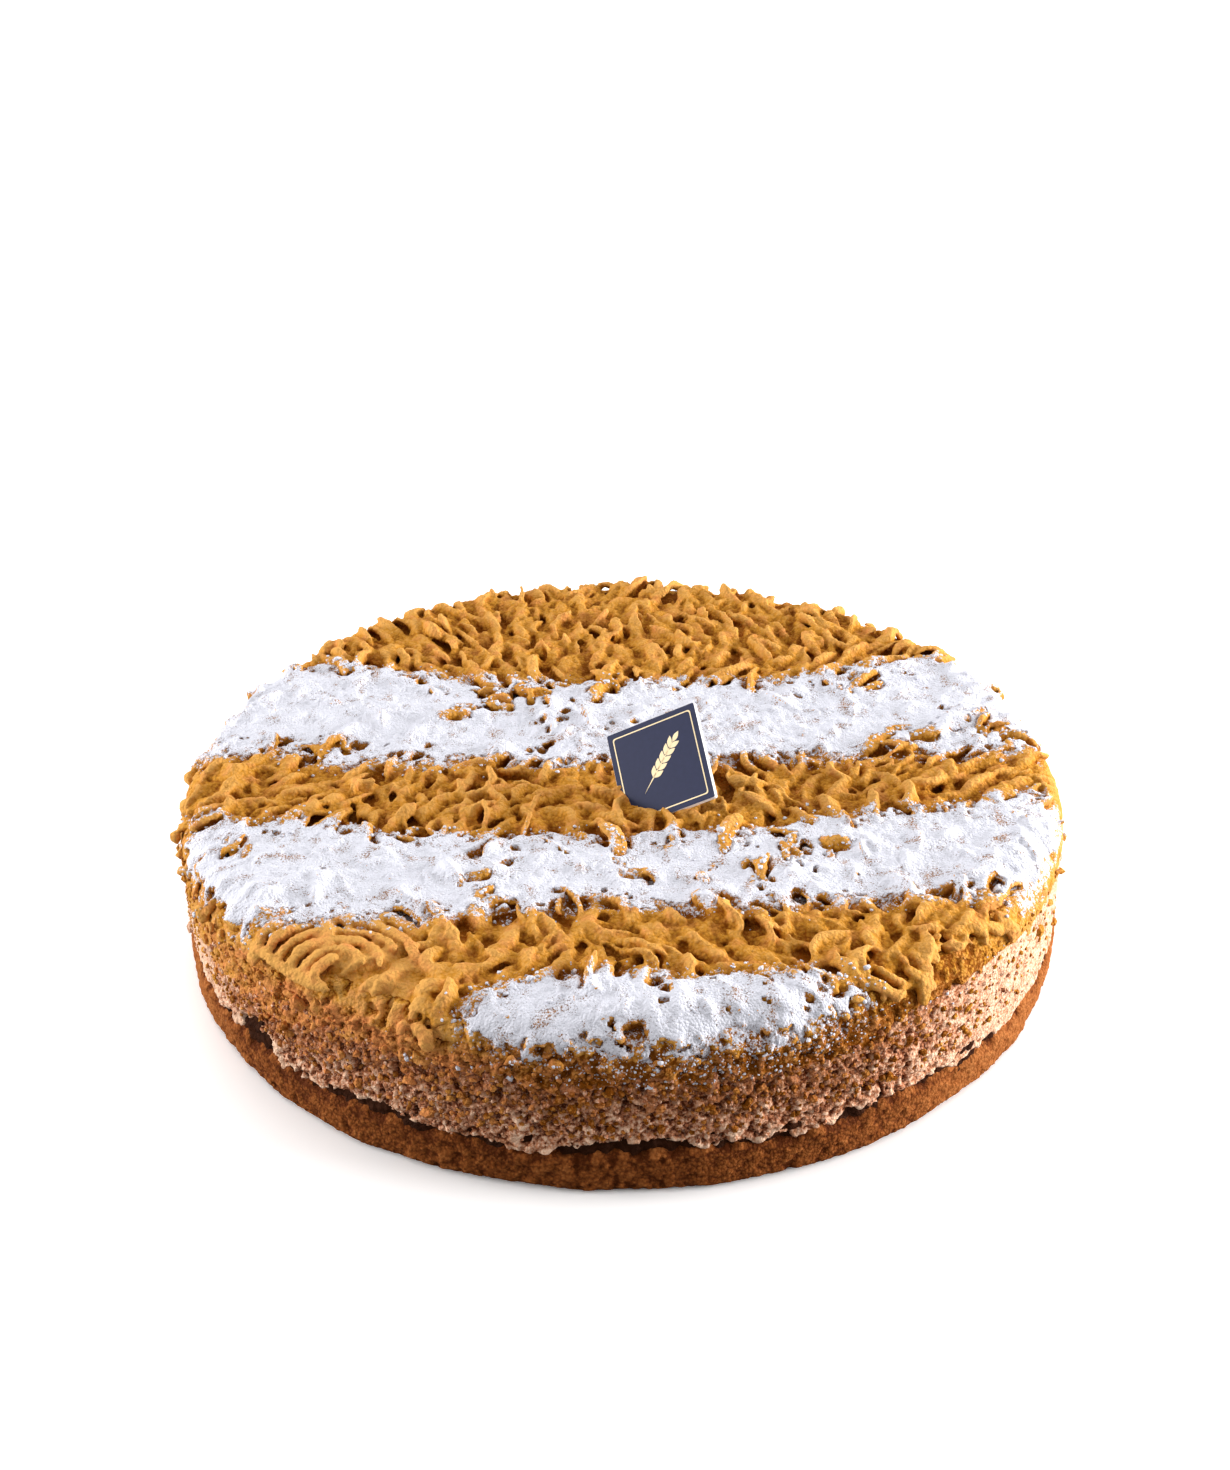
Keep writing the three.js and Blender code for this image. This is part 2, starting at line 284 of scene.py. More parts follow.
# %% [markdown]
# ## A grain to repeat
# Lumps of crumbled dough, loose crumbs and clumps of sugar are all the same little thing: a twenty-sided
# grain, pressed flat, knobbly and turned at random. One array holds all grains of a kind, because instances
# are lost when the cake is exported.

# %% Grains on a surface
knobbliness = 0.22
least_stretch, most_stretch = 0.7, 1.4


def grain_shape():
    """Points and faces of a twenty-sided grain of unit radius."""
    work = bmesh.new()
    bmesh.ops.create_icosphere(work, subdivisions=1, radius=1.0)
    points = np.array([point.co[:] for point in work.verts])
    faces = np.array([[point.index for point in face.verts] for face in work.faces])
    work.free()
    return points, faces


def grains(places, facings, sizes, flatness, seed):
    """Points and faces of grains that sit on the given places."""
    draw = np.random.default_rng(seed)
    points, faces = grain_shape()
    count = len(places)
    helper = np.where(np.abs(facings[:, 2:]) < 0.9, [[0.0, 0.0, 1.0]], [[1.0, 0.0, 0.0]])
    first = np.cross(facings, helper)
    first /= np.linalg.norm(first, axis=1, keepdims=True)
    spin = draw.uniform(0, 2 * math.pi, (count, 1))
    across = first * np.cos(spin) + np.cross(facings, first) * np.sin(spin)
    along = np.cross(facings, across)
    knobs = 1 + draw.normal(0, knobbliness, (count, len(points), 1))
    stretch = draw.uniform(least_stretch, most_stretch, (count, 1, 1))
    local = points * knobs * sizes[:, None, None]
    moved = places[:, None] + local[..., :1] * across[:, None] * stretch
    moved = moved + local[..., 1:2] * along[:, None] + local[..., 2:] * facings[:, None] * flatness
    starts = (np.arange(count) * len(points))[:, None, None]
    return moved.reshape(-1, 3), (faces + starts).reshape(-1, 3).tolist()


print("a grain has", len(grain_shape()[1]), "faces")

# %% [markdown]
# ## The strands
# A mincer lays dough down in soft strands about as thick as a pencil. Neighbours run the same way for a few
# centimetres and then turn, some curl up, most of them in front, some stand on end, and below they sink into
# each other. In some places they lie loose, and in others they are mashed until only lumps show. They could
# be curves with a round bevel, but a curve has one smooth section all along. Here each strand is a small tube
# in an array, so that its width, lift and twist can vary.

# %% Decide which way the strands run
combed_patches = [
    # places where the strands lie parallel: x, y and reach in millimetres, heading in degrees
    (-98, -18, 30, 8),
    (-45, -25, 22, 60),
    (42, -18, 26, 118),
    (104, -8, 28, 25),
    (78, -92, 24, 55),
    (20, -95, 30, 130),
    (-20, 95, 40, 80),
    (50, 85, 35, 105),
    (-75, 80, 30, 120),
]


def combing(flat):
    """The heading of the strands at each place of the sheet."""
    lifted = np.concatenate([flat, np.zeros(flat.shape[:-1] + (1,))], -1)
    heading = math.pi / 2 + 1.5 * uneven(lifted, 30 * mm, 3)
    for x, y, reach, degrees in combed_patches:
        away = np.linalg.norm(flat - np.array([x, y]) * mm, axis=-1) / (reach * mm)
        weight = np.exp(-(away**2))
        heading = heading * (1 - weight) + math.radians(degrees) * weight
    return heading


print("strands run at %.0f degrees in the middle" % math.degrees(combing(np.zeros((1, 2)))[0]))

# %% Spread places over the lid
golden_angle = math.pi * (3 - math.sqrt(5))
site_reach = lid_flat + 5 * mm
site_nudge = 1.8 * mm
strand_limit = lid_flat + 8 * mm
pressed_in = 2.6 * mm


def spread_sites(count, draw):
    """Places spread evenly over the lid, each nudged a little."""
    order = np.arange(count) + 0.5
    reach = site_reach * np.sqrt(order / count)
    turn = order * golden_angle
    nudge = draw.normal(0, site_nudge, (count, 2))
    return np.stack([reach * np.cos(turn), reach * np.sin(turn)], -1) + nudge


def kept_on_lid(path):
    """Paths that would leave the lid run along its lower edge instead."""
    reach = np.linalg.norm(path, axis=-1, keepdims=True)
    return path * np.minimum(1, strand_limit / np.maximum(reach, 1e-9))


def pressed(path):
    """How far strands were pressed into the shoulder by the tin."""
    return pressed_in * ramp(np.linalg.norm(path, axis=-1), lid_flat - 2 * mm, strand_limit)


print("strands stay within %.1f mm of the middle of the sheet" % (strand_limit / mm))

# %% Lay out strands on the flat sheet
strand_rings = 11
bed_count = 760
crest_count = 1700
curl_in_front, curl_at_back = 1.2, 0.7
loose_patch = 17 * mm
tilt_spread = 0.9 * mm
ripple_spread = 0.35
roll_spread = 0.9
twist_spread = 0.8
thinnest, thickest = 0.28, 0.65


def laid_strands(count, sizes, seed):
    """Strands all over the lid: paths on the sheet, raises above the lid, and sections. Sizes are in mm."""
    draw = np.random.default_rng(seed)
    names = ("length", "width", "level", "lift")
    length, width, level, lift = (np.array(sizes[name]) * mm for name in names)
    site = spread_sites(count, draw)
    along = np.linspace(-0.5, 0.5, strand_rings)
    curl = curl_in_front - (curl_in_front - curl_at_back) * ramp(site[:, 1], 0, 70 * mm)
    bend = draw.normal(0, curl)[:, None] * along
    swing = draw.normal(0, ripple_spread, (count, 1))
    ripple = swing * np.sin(2 * math.pi * along + draw.uniform(0, 6, (count, 1)))
    heading = combing(site) + draw.normal(0, 0.4 * curl)
    angle = heading[:, None] + bend + ripple
    stride = draw.uniform(*length, count) / (strand_rings - 1)
    path = np.cumsum(np.stack([np.cos(angle), np.sin(angle)], -1) * stride[:, None, None], axis=1)
    path += (site - path[:, strand_rings // 2])[:, None]
    ground = np.concatenate([site, np.zeros((count, 1))], -1)
    loose = uneven(ground, loose_patch, 4)[:, None] * sizes["loosening"] * mm
    arch = draw.uniform(*lift, (count, 1)) * (1 - (2 * along) ** 2)
    tilt = draw.normal(0, tilt_spread, (count, 1)) * 2 * along
    return {
        "path": kept_on_lid(path),
        "raise": draw.uniform(*level, (count, 1)) + loose + arch + tilt - pressed(path),
        "width": draw.uniform(*width, count),
        "flatness": draw.uniform(thinnest, thickest, count),
        "roll": draw.normal(0, roll_spread, count),
        "twist": draw.normal(0, twist_spread, count),
    }


bed_sizes = {
    "length": (12, 24),
    "width": (5.0, 7.4),
    "level": (-1.4, -0.4),
    "lift": (0, 0.4),
    "loosening": -1.0,
}
crest_sizes = {
    "length": (9, 22),
    "width": (2.4, 5.4),
    "level": (-0.6, 1.0),
    "lift": (0, 2.1),
    "loosening": 1.2,
}
bed_strands = laid_strands(bed_count, bed_sizes, seed=11)
crest_strands = laid_strands(crest_count, crest_sizes, seed=12)
print("strands:", len(bed_strands["path"]), "in the bed,", len(crest_strands["path"]), "on top")

# %% [markdown]
# At the front left the strands lie round one another in a swirl, broken here and there. Some strands stand up
# on end, most of them near the back rim, and a few hang over the shoulder at the front right.

# %% Add the swirl and the hanging strands
swirl_place = np.array([-73, -102]) * mm
swirl_reach = 31 * mm
swirl_pitch = 4.3 * mm
arc_length = 17 * mm
arc_half = 0.62 * arc_length
widest_half_turn = 1.2
hanging_count = 9


def swirl():
    """Short arcs, end to end, that lie round the swirl's middle."""
    draw = np.random.default_rng(5)
    radii, middles = [], []
    for radius in np.arange(swirl_pitch, swirl_reach, swirl_pitch):
        first, last = np.radians(draw.uniform(15, 50)), np.radians(draw.uniform(190, 235))
        pieces = math.ceil((last - first) * radius / arc_length)
        shares = (np.arange(pieces) + 0.5) / pieces
        middles.extend(first + (last - first) * shares)
        radii.extend([radius] * pieces)
    count = len(radii)
    radii = np.array(radii) + draw.normal(0, 0.35 * mm, count)
    half = np.minimum(arc_half / radii, widest_half_turn)
    turn = np.array(middles)[:, None] + half[:, None] * np.linspace(-1, 1, strand_rings)
    arc = np.stack([np.cos(turn), np.sin(turn)], -1)
    path = kept_on_lid(swirl_place + arc * radii[:, None, None])
    level = draw.normal(1.5 * mm, 0.25 * mm, (count, 1))
    return strands_along(path, level, draw.uniform(2.7 * mm, 3.3 * mm, count))


def hanging():
    """Strands that run straight out over the shoulder at the front right."""
    draw = np.random.default_rng(8)
    turn = np.radians(draw.uniform(-62, -38, hanging_count))[:, None]
    turn = turn + draw.normal(0, 0.02, (hanging_count, 1)) * np.linspace(-1, 1, strand_rings)
    reach = lid_flat + np.linspace(-7, 1, strand_rings) * mm + draw.uniform(5, 14, (hanging_count, 1)) * mm
    path = np.stack([np.cos(turn), np.sin(turn)], -1) * reach[..., None]
    level = np.full((hanging_count, 1), 0.7 * mm)
    return strands_along(path, level, draw.uniform(2.8 * mm, 4.0 * mm, hanging_count))


def strands_along(path, level, width):
    """Strands on given paths, at a level and with a nearly round section."""
    count = len(path)
    return {
        "path": path,
        "raise": level + np.zeros((1, strand_rings)),
        "width": width,
        "flatness": np.full(count, 0.75),
        "roll": np.zeros(count),
        "twist": np.zeros(count),
    }


swirl_strands = swirl()
hanging_strands = hanging()
print("arcs in the swirl:", len(swirl_strands["path"]), "and hanging strands:", hanging_count)

# %% Let some strands stand up and join them all
standing_share = 0.12
standing_rise = 3.4 * mm


def stand_up(strands, share, rise, seed):
    """Lifts one end of some strands, more of them at the back, and counts them."""
    draw = np.random.default_rng(seed)
    middle = strands["path"][:, strand_rings // 2]
    chance = share * (0.5 + 1.5 * ramp(middle[:, 1], 40 * mm, 110 * mm))
    chosen = draw.uniform(0, 1, len(middle)) < chance
    climb = np.linspace(0, 1, strand_rings) ** 2
    strands["raise"] = strands["raise"] + chosen[:, None] * climb * rise
    return int(chosen.sum())


def only(strands, keep):
    """The strands that are kept."""
    return {name: values[keep] for name, values in strands.items()}


def joined(*groups):
    """Several groups of strands as one."""
    return {name: np.concatenate([group[name] for group in groups]) for name in groups[0]}


crest_middles = crest_strands["path"][:, strand_rings // 2]
off_swirl = np.linalg.norm(crest_middles - swirl_place, axis=-1) > swirl_reach
crest_strands = only(crest_strands, off_swirl)
print("standing strands:", stand_up(crest_strands, standing_share, standing_rise, seed=6))
all_strands = joined(bed_strands, crest_strands, swirl_strands, hanging_strands)

# %% [markdown]
# A strand's section is flat with rounded edges. It shrinks to a blunt end, swells and thins at random and
# twists along the way, so that some strands lie flat like ribbons and others stand like blades.

# %% Turn the paths into closed tubes
strand_sides = 12
squareness = 0.6


def squared(wave):
    """A wave that is flattened towards a square one."""
    return np.sign(wave) * np.abs(wave) ** squareness


def tube_points(strands):
    """Points of one closed tube along each path, ring by ring."""
    place, facing = on_lid(strands["path"])
    line = place + facing * strands["raise"][..., None]
    ahead = np.gradient(line, axis=1)
    ahead /= np.linalg.norm(ahead, axis=-1, keepdims=True)
    across = np.cross(ahead, facing)
    across /= np.linalg.norm(across, axis=-1, keepdims=True)
    upward = np.cross(across, ahead)
    along = np.linspace(-1, 1, strand_rings)
    blunt = np.sqrt(np.clip(1 - np.abs(along) ** 4, 0.1, 1))
    size = strands["width"][:, None] / 2 * blunt * (1 + 0.2 * uneven(line, 5 * mm, 13))
    turn = 2 * math.pi * np.arange(strand_sides) / strand_sides
    wide = squared(np.cos(turn))
    thick = squared(np.sin(turn)) * strands["flatness"][:, None, None]
    roll = (strands["roll"][:, None] + strands["twist"][:, None] * along)[..., None]
    out = wide * np.cos(roll) - thick * np.sin(roll)
    up = wide * np.sin(roll) + thick * np.cos(roll)
    section = across[:, :, None] * out[..., None] + upward[:, :, None] * up[..., None]
    return (line[:, :, None] + section * size[:, :, None, None]).reshape(-1, 3)


def ring_faces(sides, rows):
    """Faces of rings of points: a grid that closes round, then a lid below and a lid above."""
    ring = np.arange(sides)
    beside = (ring + 1) % sides
    low = (np.arange(rows) * sides)[:, None]
    high = low + sides
    faces = np.stack([low + ring, low + beside, high + beside, high + ring], -1).reshape(-1, 4).tolist()
    faces.append(list(range(sides - 1, -1, -1)))
    faces.append(list(range(rows * sides, (rows + 1) * sides)))
    return faces


def tube_faces(count):
    """Faces for tubes whose points are stored ring by ring."""
    one_tube = ring_faces(strand_sides, strand_rings - 1)
    per_tube = strand_rings * strand_sides
    starts = range(0, count * per_tube, per_tube)
    return [tuple(index + start for index in face) for start in starts for face in one_tube]


strand_points = tube_points(all_strands)
print("strand points:", len(strand_points))

# %% [markdown]
# Some of the dough has broken into lumps, all over the lid and most of all along the front, round the swirl
# and down the shoulder.

# %% Lumps of broken dough
lumps_everywhere = 420
lumps_in_front = 1200
front_heading = math.radians(-108)
front_spread = math.radians(34)
lump_size = 0.95 * mm
larger_at_left = 0.7


def lumps_of_dough(seed):
    """Points and faces of lumps that sit in the lid's surface."""
    draw = np.random.default_rng(seed)
    everywhere = spread_sites(lumps_everywhere, draw)
    turn = draw.normal(front_heading, front_spread, lumps_in_front)
    reach = np.minimum(lid_flat + draw.normal(-1 * mm, 7 * mm, lumps_in_front), lid_flat + 13 * mm)
    along_front = np.stack([np.cos(turn), np.sin(turn)], -1) * reach[:, None]
    sites = np.concatenate([everywhere, along_front])
    sites = sites[np.linalg.norm(sites - swirl_place, axis=-1) > 0.8 * swirl_reach]
    place, facing = on_lid(sites)
    count = len(place)
    sizes = draw.lognormal(math.log(lump_size), 0.4, count)
    sizes *= 1 + larger_at_left * ramp(-sites[:, 0], 35 * mm, 55 * mm)
    raised = place + facing * draw.uniform(-0.4, 1.0, (count, 1)) * mm
    return grains(raised, facing, sizes, flatness=0.8, seed=seed + 1)


lump_points, lump_faces = lumps_of_dough(seed=21)
print("lumps of dough:", len(lump_faces) // len(grain_shape()[1]))

# %% [markdown]
# ## One skin of dough
# While it bakes, the dough sinks into one piece. A plain turned solid is the core, and strands and lumps lie
# in it. They are first bent by lumps of noise, so that no two look alike. Voxel remesh then keeps only the
# outer skin of everything that overlaps. The skin of a dry dough has creases and torn ridges, which come from
# noise with its lower half turned up, added for the one and taken off for the other. The flat underside is
# hidden on the meringue, so its small faces are closed by a few large ones. Decimate spends the triangles
# where the surface bends. The skin is then cut in two, because one piece would be too heavy, and the cut lies
# under the back band of sugar.

# %% Turn the core of the lid
core_segments = 180
core_drop = 0.7 * mm
lid_bottom = meringue_top - 1.5 * mm
core_inset = 2.2 * mm


def turned(profile, segments):
    """A profile of (radius, height) turned about the upright axis and closed by two discs."""
    turn = 2 * math.pi * np.arange(segments) / segments
    rings = [np.stack([r * np.cos(turn), r * np.sin(turn), np.full(segments, z)], -1) for r, z in profile]
    return np.concatenate(rings), ring_faces(segments, len(profile) - 1)


def core_profile():
    """The lid's section, from the edge of its underside up over the shoulder."""
    middle = lid_radius - core_inset - shoulder
    level = side_top - core_drop
    bends = np.linspace(0, math.pi / 2, 9)
    rounded = [(middle + shoulder * math.cos(bend), level + shoulder * math.sin(bend)) for bend in bends]
    return [(middle + shoulder, lid_bottom), *rounded]


core_points, core_faces = turned(core_profile(), core_segments)
print("core:", len(core_faces), "faces")

# %% Melt core, strands and lumps into one skin
voxel = 0.5 * mm


def shifted(points, grain, reach, seed):
    """Points moved in all directions by lumps of noise."""
    return points + reach * np.stack([uneven(points, grain, seed + axis) for axis in range(3)], -1)


def gathered(*parts):
    """Several sets of points and faces as one."""
    points, faces, start = [], [], 0
    for some_points, some_faces in parts:
        faces.extend(tuple(index + start for index in face) for face in some_faces)
        points.append(some_points)
        start += len(some_points)
    return np.concatenate(points), faces


def melted(points, faces):
    """One skin round everything that overlaps."""
    lump = add_mesh("dough_lump", points, faces)
    fuse = lump.modifiers.new("fuse", "REMESH")
    fuse.mode = "VOXEL"
    fuse.voxel_size = voxel
    return take_result(lump)


def take_result(lump):
    """The mesh with all its modifiers applied. The object that carried them goes."""
    ready = lump.evaluated_get(bpy.context.evaluated_depsgraph_get())
    mesh = bpy.data.meshes.new_from_object(ready)
    bpy.data.objects.remove(lump)
    return mesh


def bent(points):
    """Points moved by wide and by narrow lumps of noise."""
    return shifted(shifted(points, 7 * mm, 0.6 * mm, 14), 2.3 * mm, 0.3 * mm, 17)


strand_part = (bent(strand_points), tube_faces(len(all_strands["path"])))
lump_part = (bent(lump_points), lump_faces)
dough_mesh = melted(*gathered((core_points, core_faces), strand_part, lump_part))
print("melted dough:", len(dough_mesh.vertices), "points")

# %% Roughen the skin, close the underside and thin out the triangles
dough_triangles = 280000
underside_level = side_top - 6 * mm


def roughen(mesh):
    """Moves points in and out by creases, ridges and fine noise."""
    points = points_of(mesh)
    creases = 0.25 * np.abs(uneven(points, 3.2 * mm, 24))
    ridges = 0.45 * np.abs(uneven(points, 1.6 * mm, 25))
    relief = creases - ridges + 0.2 * uneven(points, 0.95 * mm, 26)
    moved = points + facings_of(mesh) * relief[:, None] * mm
    mesh.vertices.foreach_set("co", moved.astype(np.float32).ravel())
    mesh.update()


def close_underside(mesh, level):
    """Replaces everything below the level by a flat bottom."""
    work = bmesh.new()
    work.from_mesh(mesh)
    low = [point for point in work.verts if point.co.z < level]
    bmesh.ops.delete(work, geom=low, context="VERTS")
    rim = [edge for edge in work.edges if edge.is_boundary]
    bmesh.ops.holes_fill(work, edges=rim, sides=0)
    bmesh.ops.triangulate(work, faces=[face for face in work.faces if len(face.verts) > 4])
    work.to_mesh(mesh)
    work.free()


def thinned(mesh, most):
    """The mesh with at most so many triangles."""
    mesh.calc_loop_triangles()
    lump = add_object("dough_lump", mesh)
    decimate = lump.modifiers.new("thin", "DECIMATE")
    decimate.ratio = min(1.0, most / len(mesh.loop_triangles))
    return take_result(lump)


roughen(dough_mesh)
close_underside(dough_mesh, underside_level)
dough_mesh = thinned(dough_mesh, dough_triangles)
print("thinned dough:", len(dough_mesh.polygons), "faces")

# %% Cut the skin in two
def part_between(mesh, name, near, far):
    """A piece of the mesh: the faces whose middle lies between two distances from the front to the back."""
    work = bmesh.new()
    work.from_mesh(mesh)
    outside = [face for face in work.faces if not near <= face.calc_center_median().y < far]
    bmesh.ops.delete(work, geom=outside, context="FACES")
    part = bpy.data.meshes.new(name)
    work.to_mesh(part)
    work.free()
    part.shade_smooth()
    return add_object(name, part)


sugar_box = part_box("sugar_band_back")
cut_line = (sugar_box[0].y + sugar_box[1].y) / 2
dough_parts = [
    part_between(dough_mesh, "dough_strands_front", -cake_radius, cut_line),
    part_between(dough_mesh, "dough_strands_back", cut_line, cake_radius),
]
for part in dough_parts:
    hand_over(part, "baked_dough", "dough_lid")

# %% [markdown]
# ## A map of the lid
# Sugar falls from above, lies on what it meets and misses what is hidden or steep. To know that, rays are
# cast at the finished lid from all over the flat sheet. The result is a height map: how far the dough stands
# above the lid's own level at each place. A blurred copy shows which places are crests and which are
# crevices.

# %% Cast rays at the lid
map_step = 0.56 * mm
map_reach = lid_flat + shoulder * math.pi / 2 + 6 * mm
map_size = 2 * int(map_reach / map_step) + 1
map_line = (np.arange(map_size) - map_size // 2) * map_step
map_flat = np.stack(np.meshgrid(map_line, map_line, indexing="ij"), -1)
map_place, map_facing = on_lid(map_flat)
map_spots = np.concatenate([map_flat, np.zeros((map_size, map_size, 1))], -1)
ray_start = 14 * mm
no_dough = -1.5 * mm
crest_blur = 3.2 * mm


def heights_of(tree, missing):
    """Height of a mesh above the lid's level at every place of the map."""
    heights = np.full((map_size, map_size), missing)
    inside = np.linalg.norm(map_flat, axis=-1) < map_reach
    starts = map_place + map_facing * ray_start
    for i, j in np.argwhere(inside):
        hit = tree.ray_cast(starts[i, j], -map_facing[i, j], 2 * ray_start)
        if hit[0] is not None:
            heights[i, j] = ray_start - hit[3]
    return heights


def blurred(values, radius):
    """The map softened by a bell of the given radius."""
    cells = radius / map_step
    offsets = np.arange(-int(3 * cells), int(3 * cells) + 1)
    weights = np.exp(-0.5 * (offsets / cells) ** 2)
    weights /= weights.sum()
    for axis in (0, 1):
        values = sum(weight * np.roll(values, offset, axis) for weight, offset in zip(weights, offsets))
    return values


def read_map(values, flat):
    """The map's values at places of the flat sheet."""
    cell = np.clip(flat / map_step + map_size // 2, 0, map_size - 1.001)
    low = np.floor(cell).astype(int)
    share = cell - low
    i, j = low[..., 0], low[..., 1]
    u, v = share[..., 0], share[..., 1]
    near = values[i, j] * (1 - v) + values[i, j + 1] * v
    far = values[i + 1, j] * (1 - v) + values[i + 1, j + 1] * v
    return near * (1 - u) + far * u


dough_height = heights_of(tree_of(dough_mesh), no_dough)
dough_soft = blurred(dough_height, crest_blur)
height_range = (dough_height.min() / mm, dough_height.max() / mm)
print("dough stands %.1f to %.1f mm about the lid's level" % height_range)

# %% Tell crests from crevices on the lid
level_crest = 0.55
crest_range = 3.6 * mm


def crest_values(mesh):
    """0 in a deep crevice, 1 on a crest; the material paints crevices with painted shade and crests with
    painted light.
    """
    points = points_of(mesh)
    flat = rolled_out(points)
    place, facing = on_lid(flat)
    height = np.sum((points - place) * facing, axis=-1)
    return np.clip(level_crest + (height - read_map(dough_soft, flat)) / crest_range, 0, 1)


def lid_tint(points):
    """What the place on the lid adds to the shade: brown low down at the front, partly a browner bake and
    partly painted shade, and pale on the swirl.
    """
    from_swirl = np.linalg.norm(points[..., :2] - swirl_place, axis=-1) / swirl_reach
    browned_and_shaded = low_on_lid(points) * facing_way(points, -72, 0.77, 0.96)
    return 0.45 * (1 - ramp(from_swirl, 0.6, 1.0)) - 0.55 * browned_and_shaded


def low_on_lid(points):
    """0 on top of the lid, 1 below its shoulder."""
    return 1 - ramp(points[..., 2], side_top - 2 * mm, side_top + 7.5 * mm)


def lid_toasting(points):
    """Toasted red brown below the shoulder at the front."""
    return 0.3 * in_front(points) * low_on_lid(points)


print("mean crest value of the dough: %.2f" % crest_values(dough_mesh).mean())

# %% [markdown]
# ## The icing sugar
# Sugar was sifted over the cake in three bands. The frame's sugar solids say where each band lies. Rays find
# those footprints, and a blur turns their hard edge into the soft edge of a sieve: full in the middle,
# thinning out over a few millimetres. The front band is the softest.

# %% Find where the sugar fell
sugar_nodes = ["sugar_band_back", "sugar_band_middle", "sugar_band_front"]
sieve_blurs = [5.5 * mm, 5.5 * mm, 6.0 * mm]


def fallen_on(node, sieve_blur):
    """How much sugar of one band fell at each place of the map, from 0 to 1."""
    heights = heights_of(tree_of(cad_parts[node].data), -1.0)
    return blurred((heights > -0.5).astype(float), sieve_blur)


fallen = {node: fallen_on(node, sieve_blur) for node, sieve_blur in zip(sugar_nodes, sieve_blurs)}
for node, amount in fallen.items():
    print(node, "covers %.0f square centimetres" % (amount.sum() * (map_step * 100) ** 2))

# %% [markdown]
# The powder fills the valleys between strands nearly to their crests. It leaves the deepest crevices bare,
# and in some patches the highest crests stick out of it. In front of those crests it is bare as well, partly
# because it fell at a slant and partly as a painted shadow, so that dark dough shows where their shadow lies.
# Its level is found by a closing of the map: every height spreads to its neighbours and is then drawn in
# again by as much, which fills what is narrow and keeps what is wide. What is covered is decided by a score:
# the sugar that fell, less for steep and deep places, with noise at the size of a crumb. Above one half the
# powder is a sheet. On both sides of that limit single specks show, dough in the sheet and powder on the
# dough, so that the edge has no line.

# %% Say where strands stick out
bare_patches = [
    # places in the sugar where strands stick out: x, y and reach in millimetres
    (-86, 3, 13),
    (-50, 30, 7),
    (-31, 37, 11),
    (-6, 46, 8),
    (46, 48, 9),
    (76, 44, 8),
    (84, 9, 14),
    (113, 17, 9),
    (-102, -46, 9),
    (-38, -66, 8),
    (4, -57, 9),
    (33, -54, 15),
    (51, -45, 11),
    (62, -113, 13),
]


def in_bare_patch(flat):
    """1 in the middle of a bare patch, fading to 0 outside all of them."""
    fades = []
    for x, y, reach in bare_patches:
        away = np.linalg.norm(flat - np.array([x, y]) * mm, axis=-1)
        fades.append(np.exp(-((away / (reach * mm)) ** 2)))
    return np.max(fades, axis=0)


print("bare patches:", len(bare_patches))

# %% Settle the powder on the strands
below_crests = 0.4 * mm
valley_radius = 3.4 * mm
level_blur = 2.2 * mm
slant_shadow = 1.5 * mm


def spread_up(values, radius):
    """The highest value within a square of the given half width."""
    cells = round(radius / map_step)
    for axis in (0, 1):
        values = np.max([np.roll(values, shift, axis) for shift in range(-cells, cells + 1)], axis=0)
    return values


def valleys_filled(values, radius):
    """The map with every valley narrower than twice the radius filled up."""
    return -spread_up(-spread_up(values, radius), radius)


on_top = np.linalg.norm(map_flat, axis=-1) < lid_flat
fill_level = blurred(valleys_filled(dough_height, valley_radius), level_blur) - below_crests
fill_depth = fill_level - dough_height
deep_limits = np.quantile(fill_depth[on_top], [0.9, 0.985])
deep = ramp(fill_depth, *deep_limits) * (0.5 + 0.5 * ramp(uneven(map_spots, 24 * mm, 37), -0.35, 0.35))
rise = dough_height - blurred(dough_height, 5 * mm)
sticking_out = ramp(rise, *np.quantile(rise[on_top], [0.72, 0.86]))
sticking_out *= ramp(in_bare_patch(map_flat) + 0.3 * uneven(map_spots, 7 * mm, 39), 0.25, 0.7)
# painted shadow: the powder is left off in front of each bare crest, so that dark dough shows there
bare_shadow_fronts = np.roll(sticking_out, -round(slant_shadow / map_step), axis=1)
sticking_out = np.maximum(sticking_out, bare_shadow_fronts)
slope = np.hypot(*np.gradient(blurred(dough_height, 0.7 * mm), map_step))
steep = ramp(slope, 0.7, 1.9)
patchy = 0.33 * uneven(map_spots, 1.3 * mm, 31) + 0.33 * uneven(map_spots, 2.8 * mm, 32)
patchy += 0.25 * uneven(map_spots, 8 * mm, 33)
print("bare crevices are deeper than", [round(limit / mm, 1) for limit in deep_limits], "mm")

# %% Score the places and shape the powder
powder_depth = 0.22 * mm


def cover_of(amount):
    """How well the powder hides the dough: a sheet above one half, single specks below."""
    middle = ramp(amount, 0.75, 1.0)
    outside = 1 - ramp(amount, 0.0, 0.3)
    bare = (0.65 - 0.35 * middle) * steep + (1.0 - 0.4 * middle) * deep + 1.2 * sticking_out
    return 1.25 * amount - bare + patchy * (1 - outside) * (1 - 0.6 * middle) - 0.5 * outside


def powder_surface(held):
    """Height of the powder over the whole map."""
    feather = ramp(blurred(held.astype(float), 0.8 * mm), 0.35, 0.95)
    grainy = 0.24 * uneven(map_spots, 1.1 * mm, 35) + 0.08 * uneven(map_spots, 2.4 * mm, 36)
    thick = blurred(np.maximum(fill_level, dough_height), 0.65 * mm) + powder_depth + grainy * mm
    return dough_height + 0.05 * mm + np.maximum(thick - dough_height, 0.1 * mm) * feather


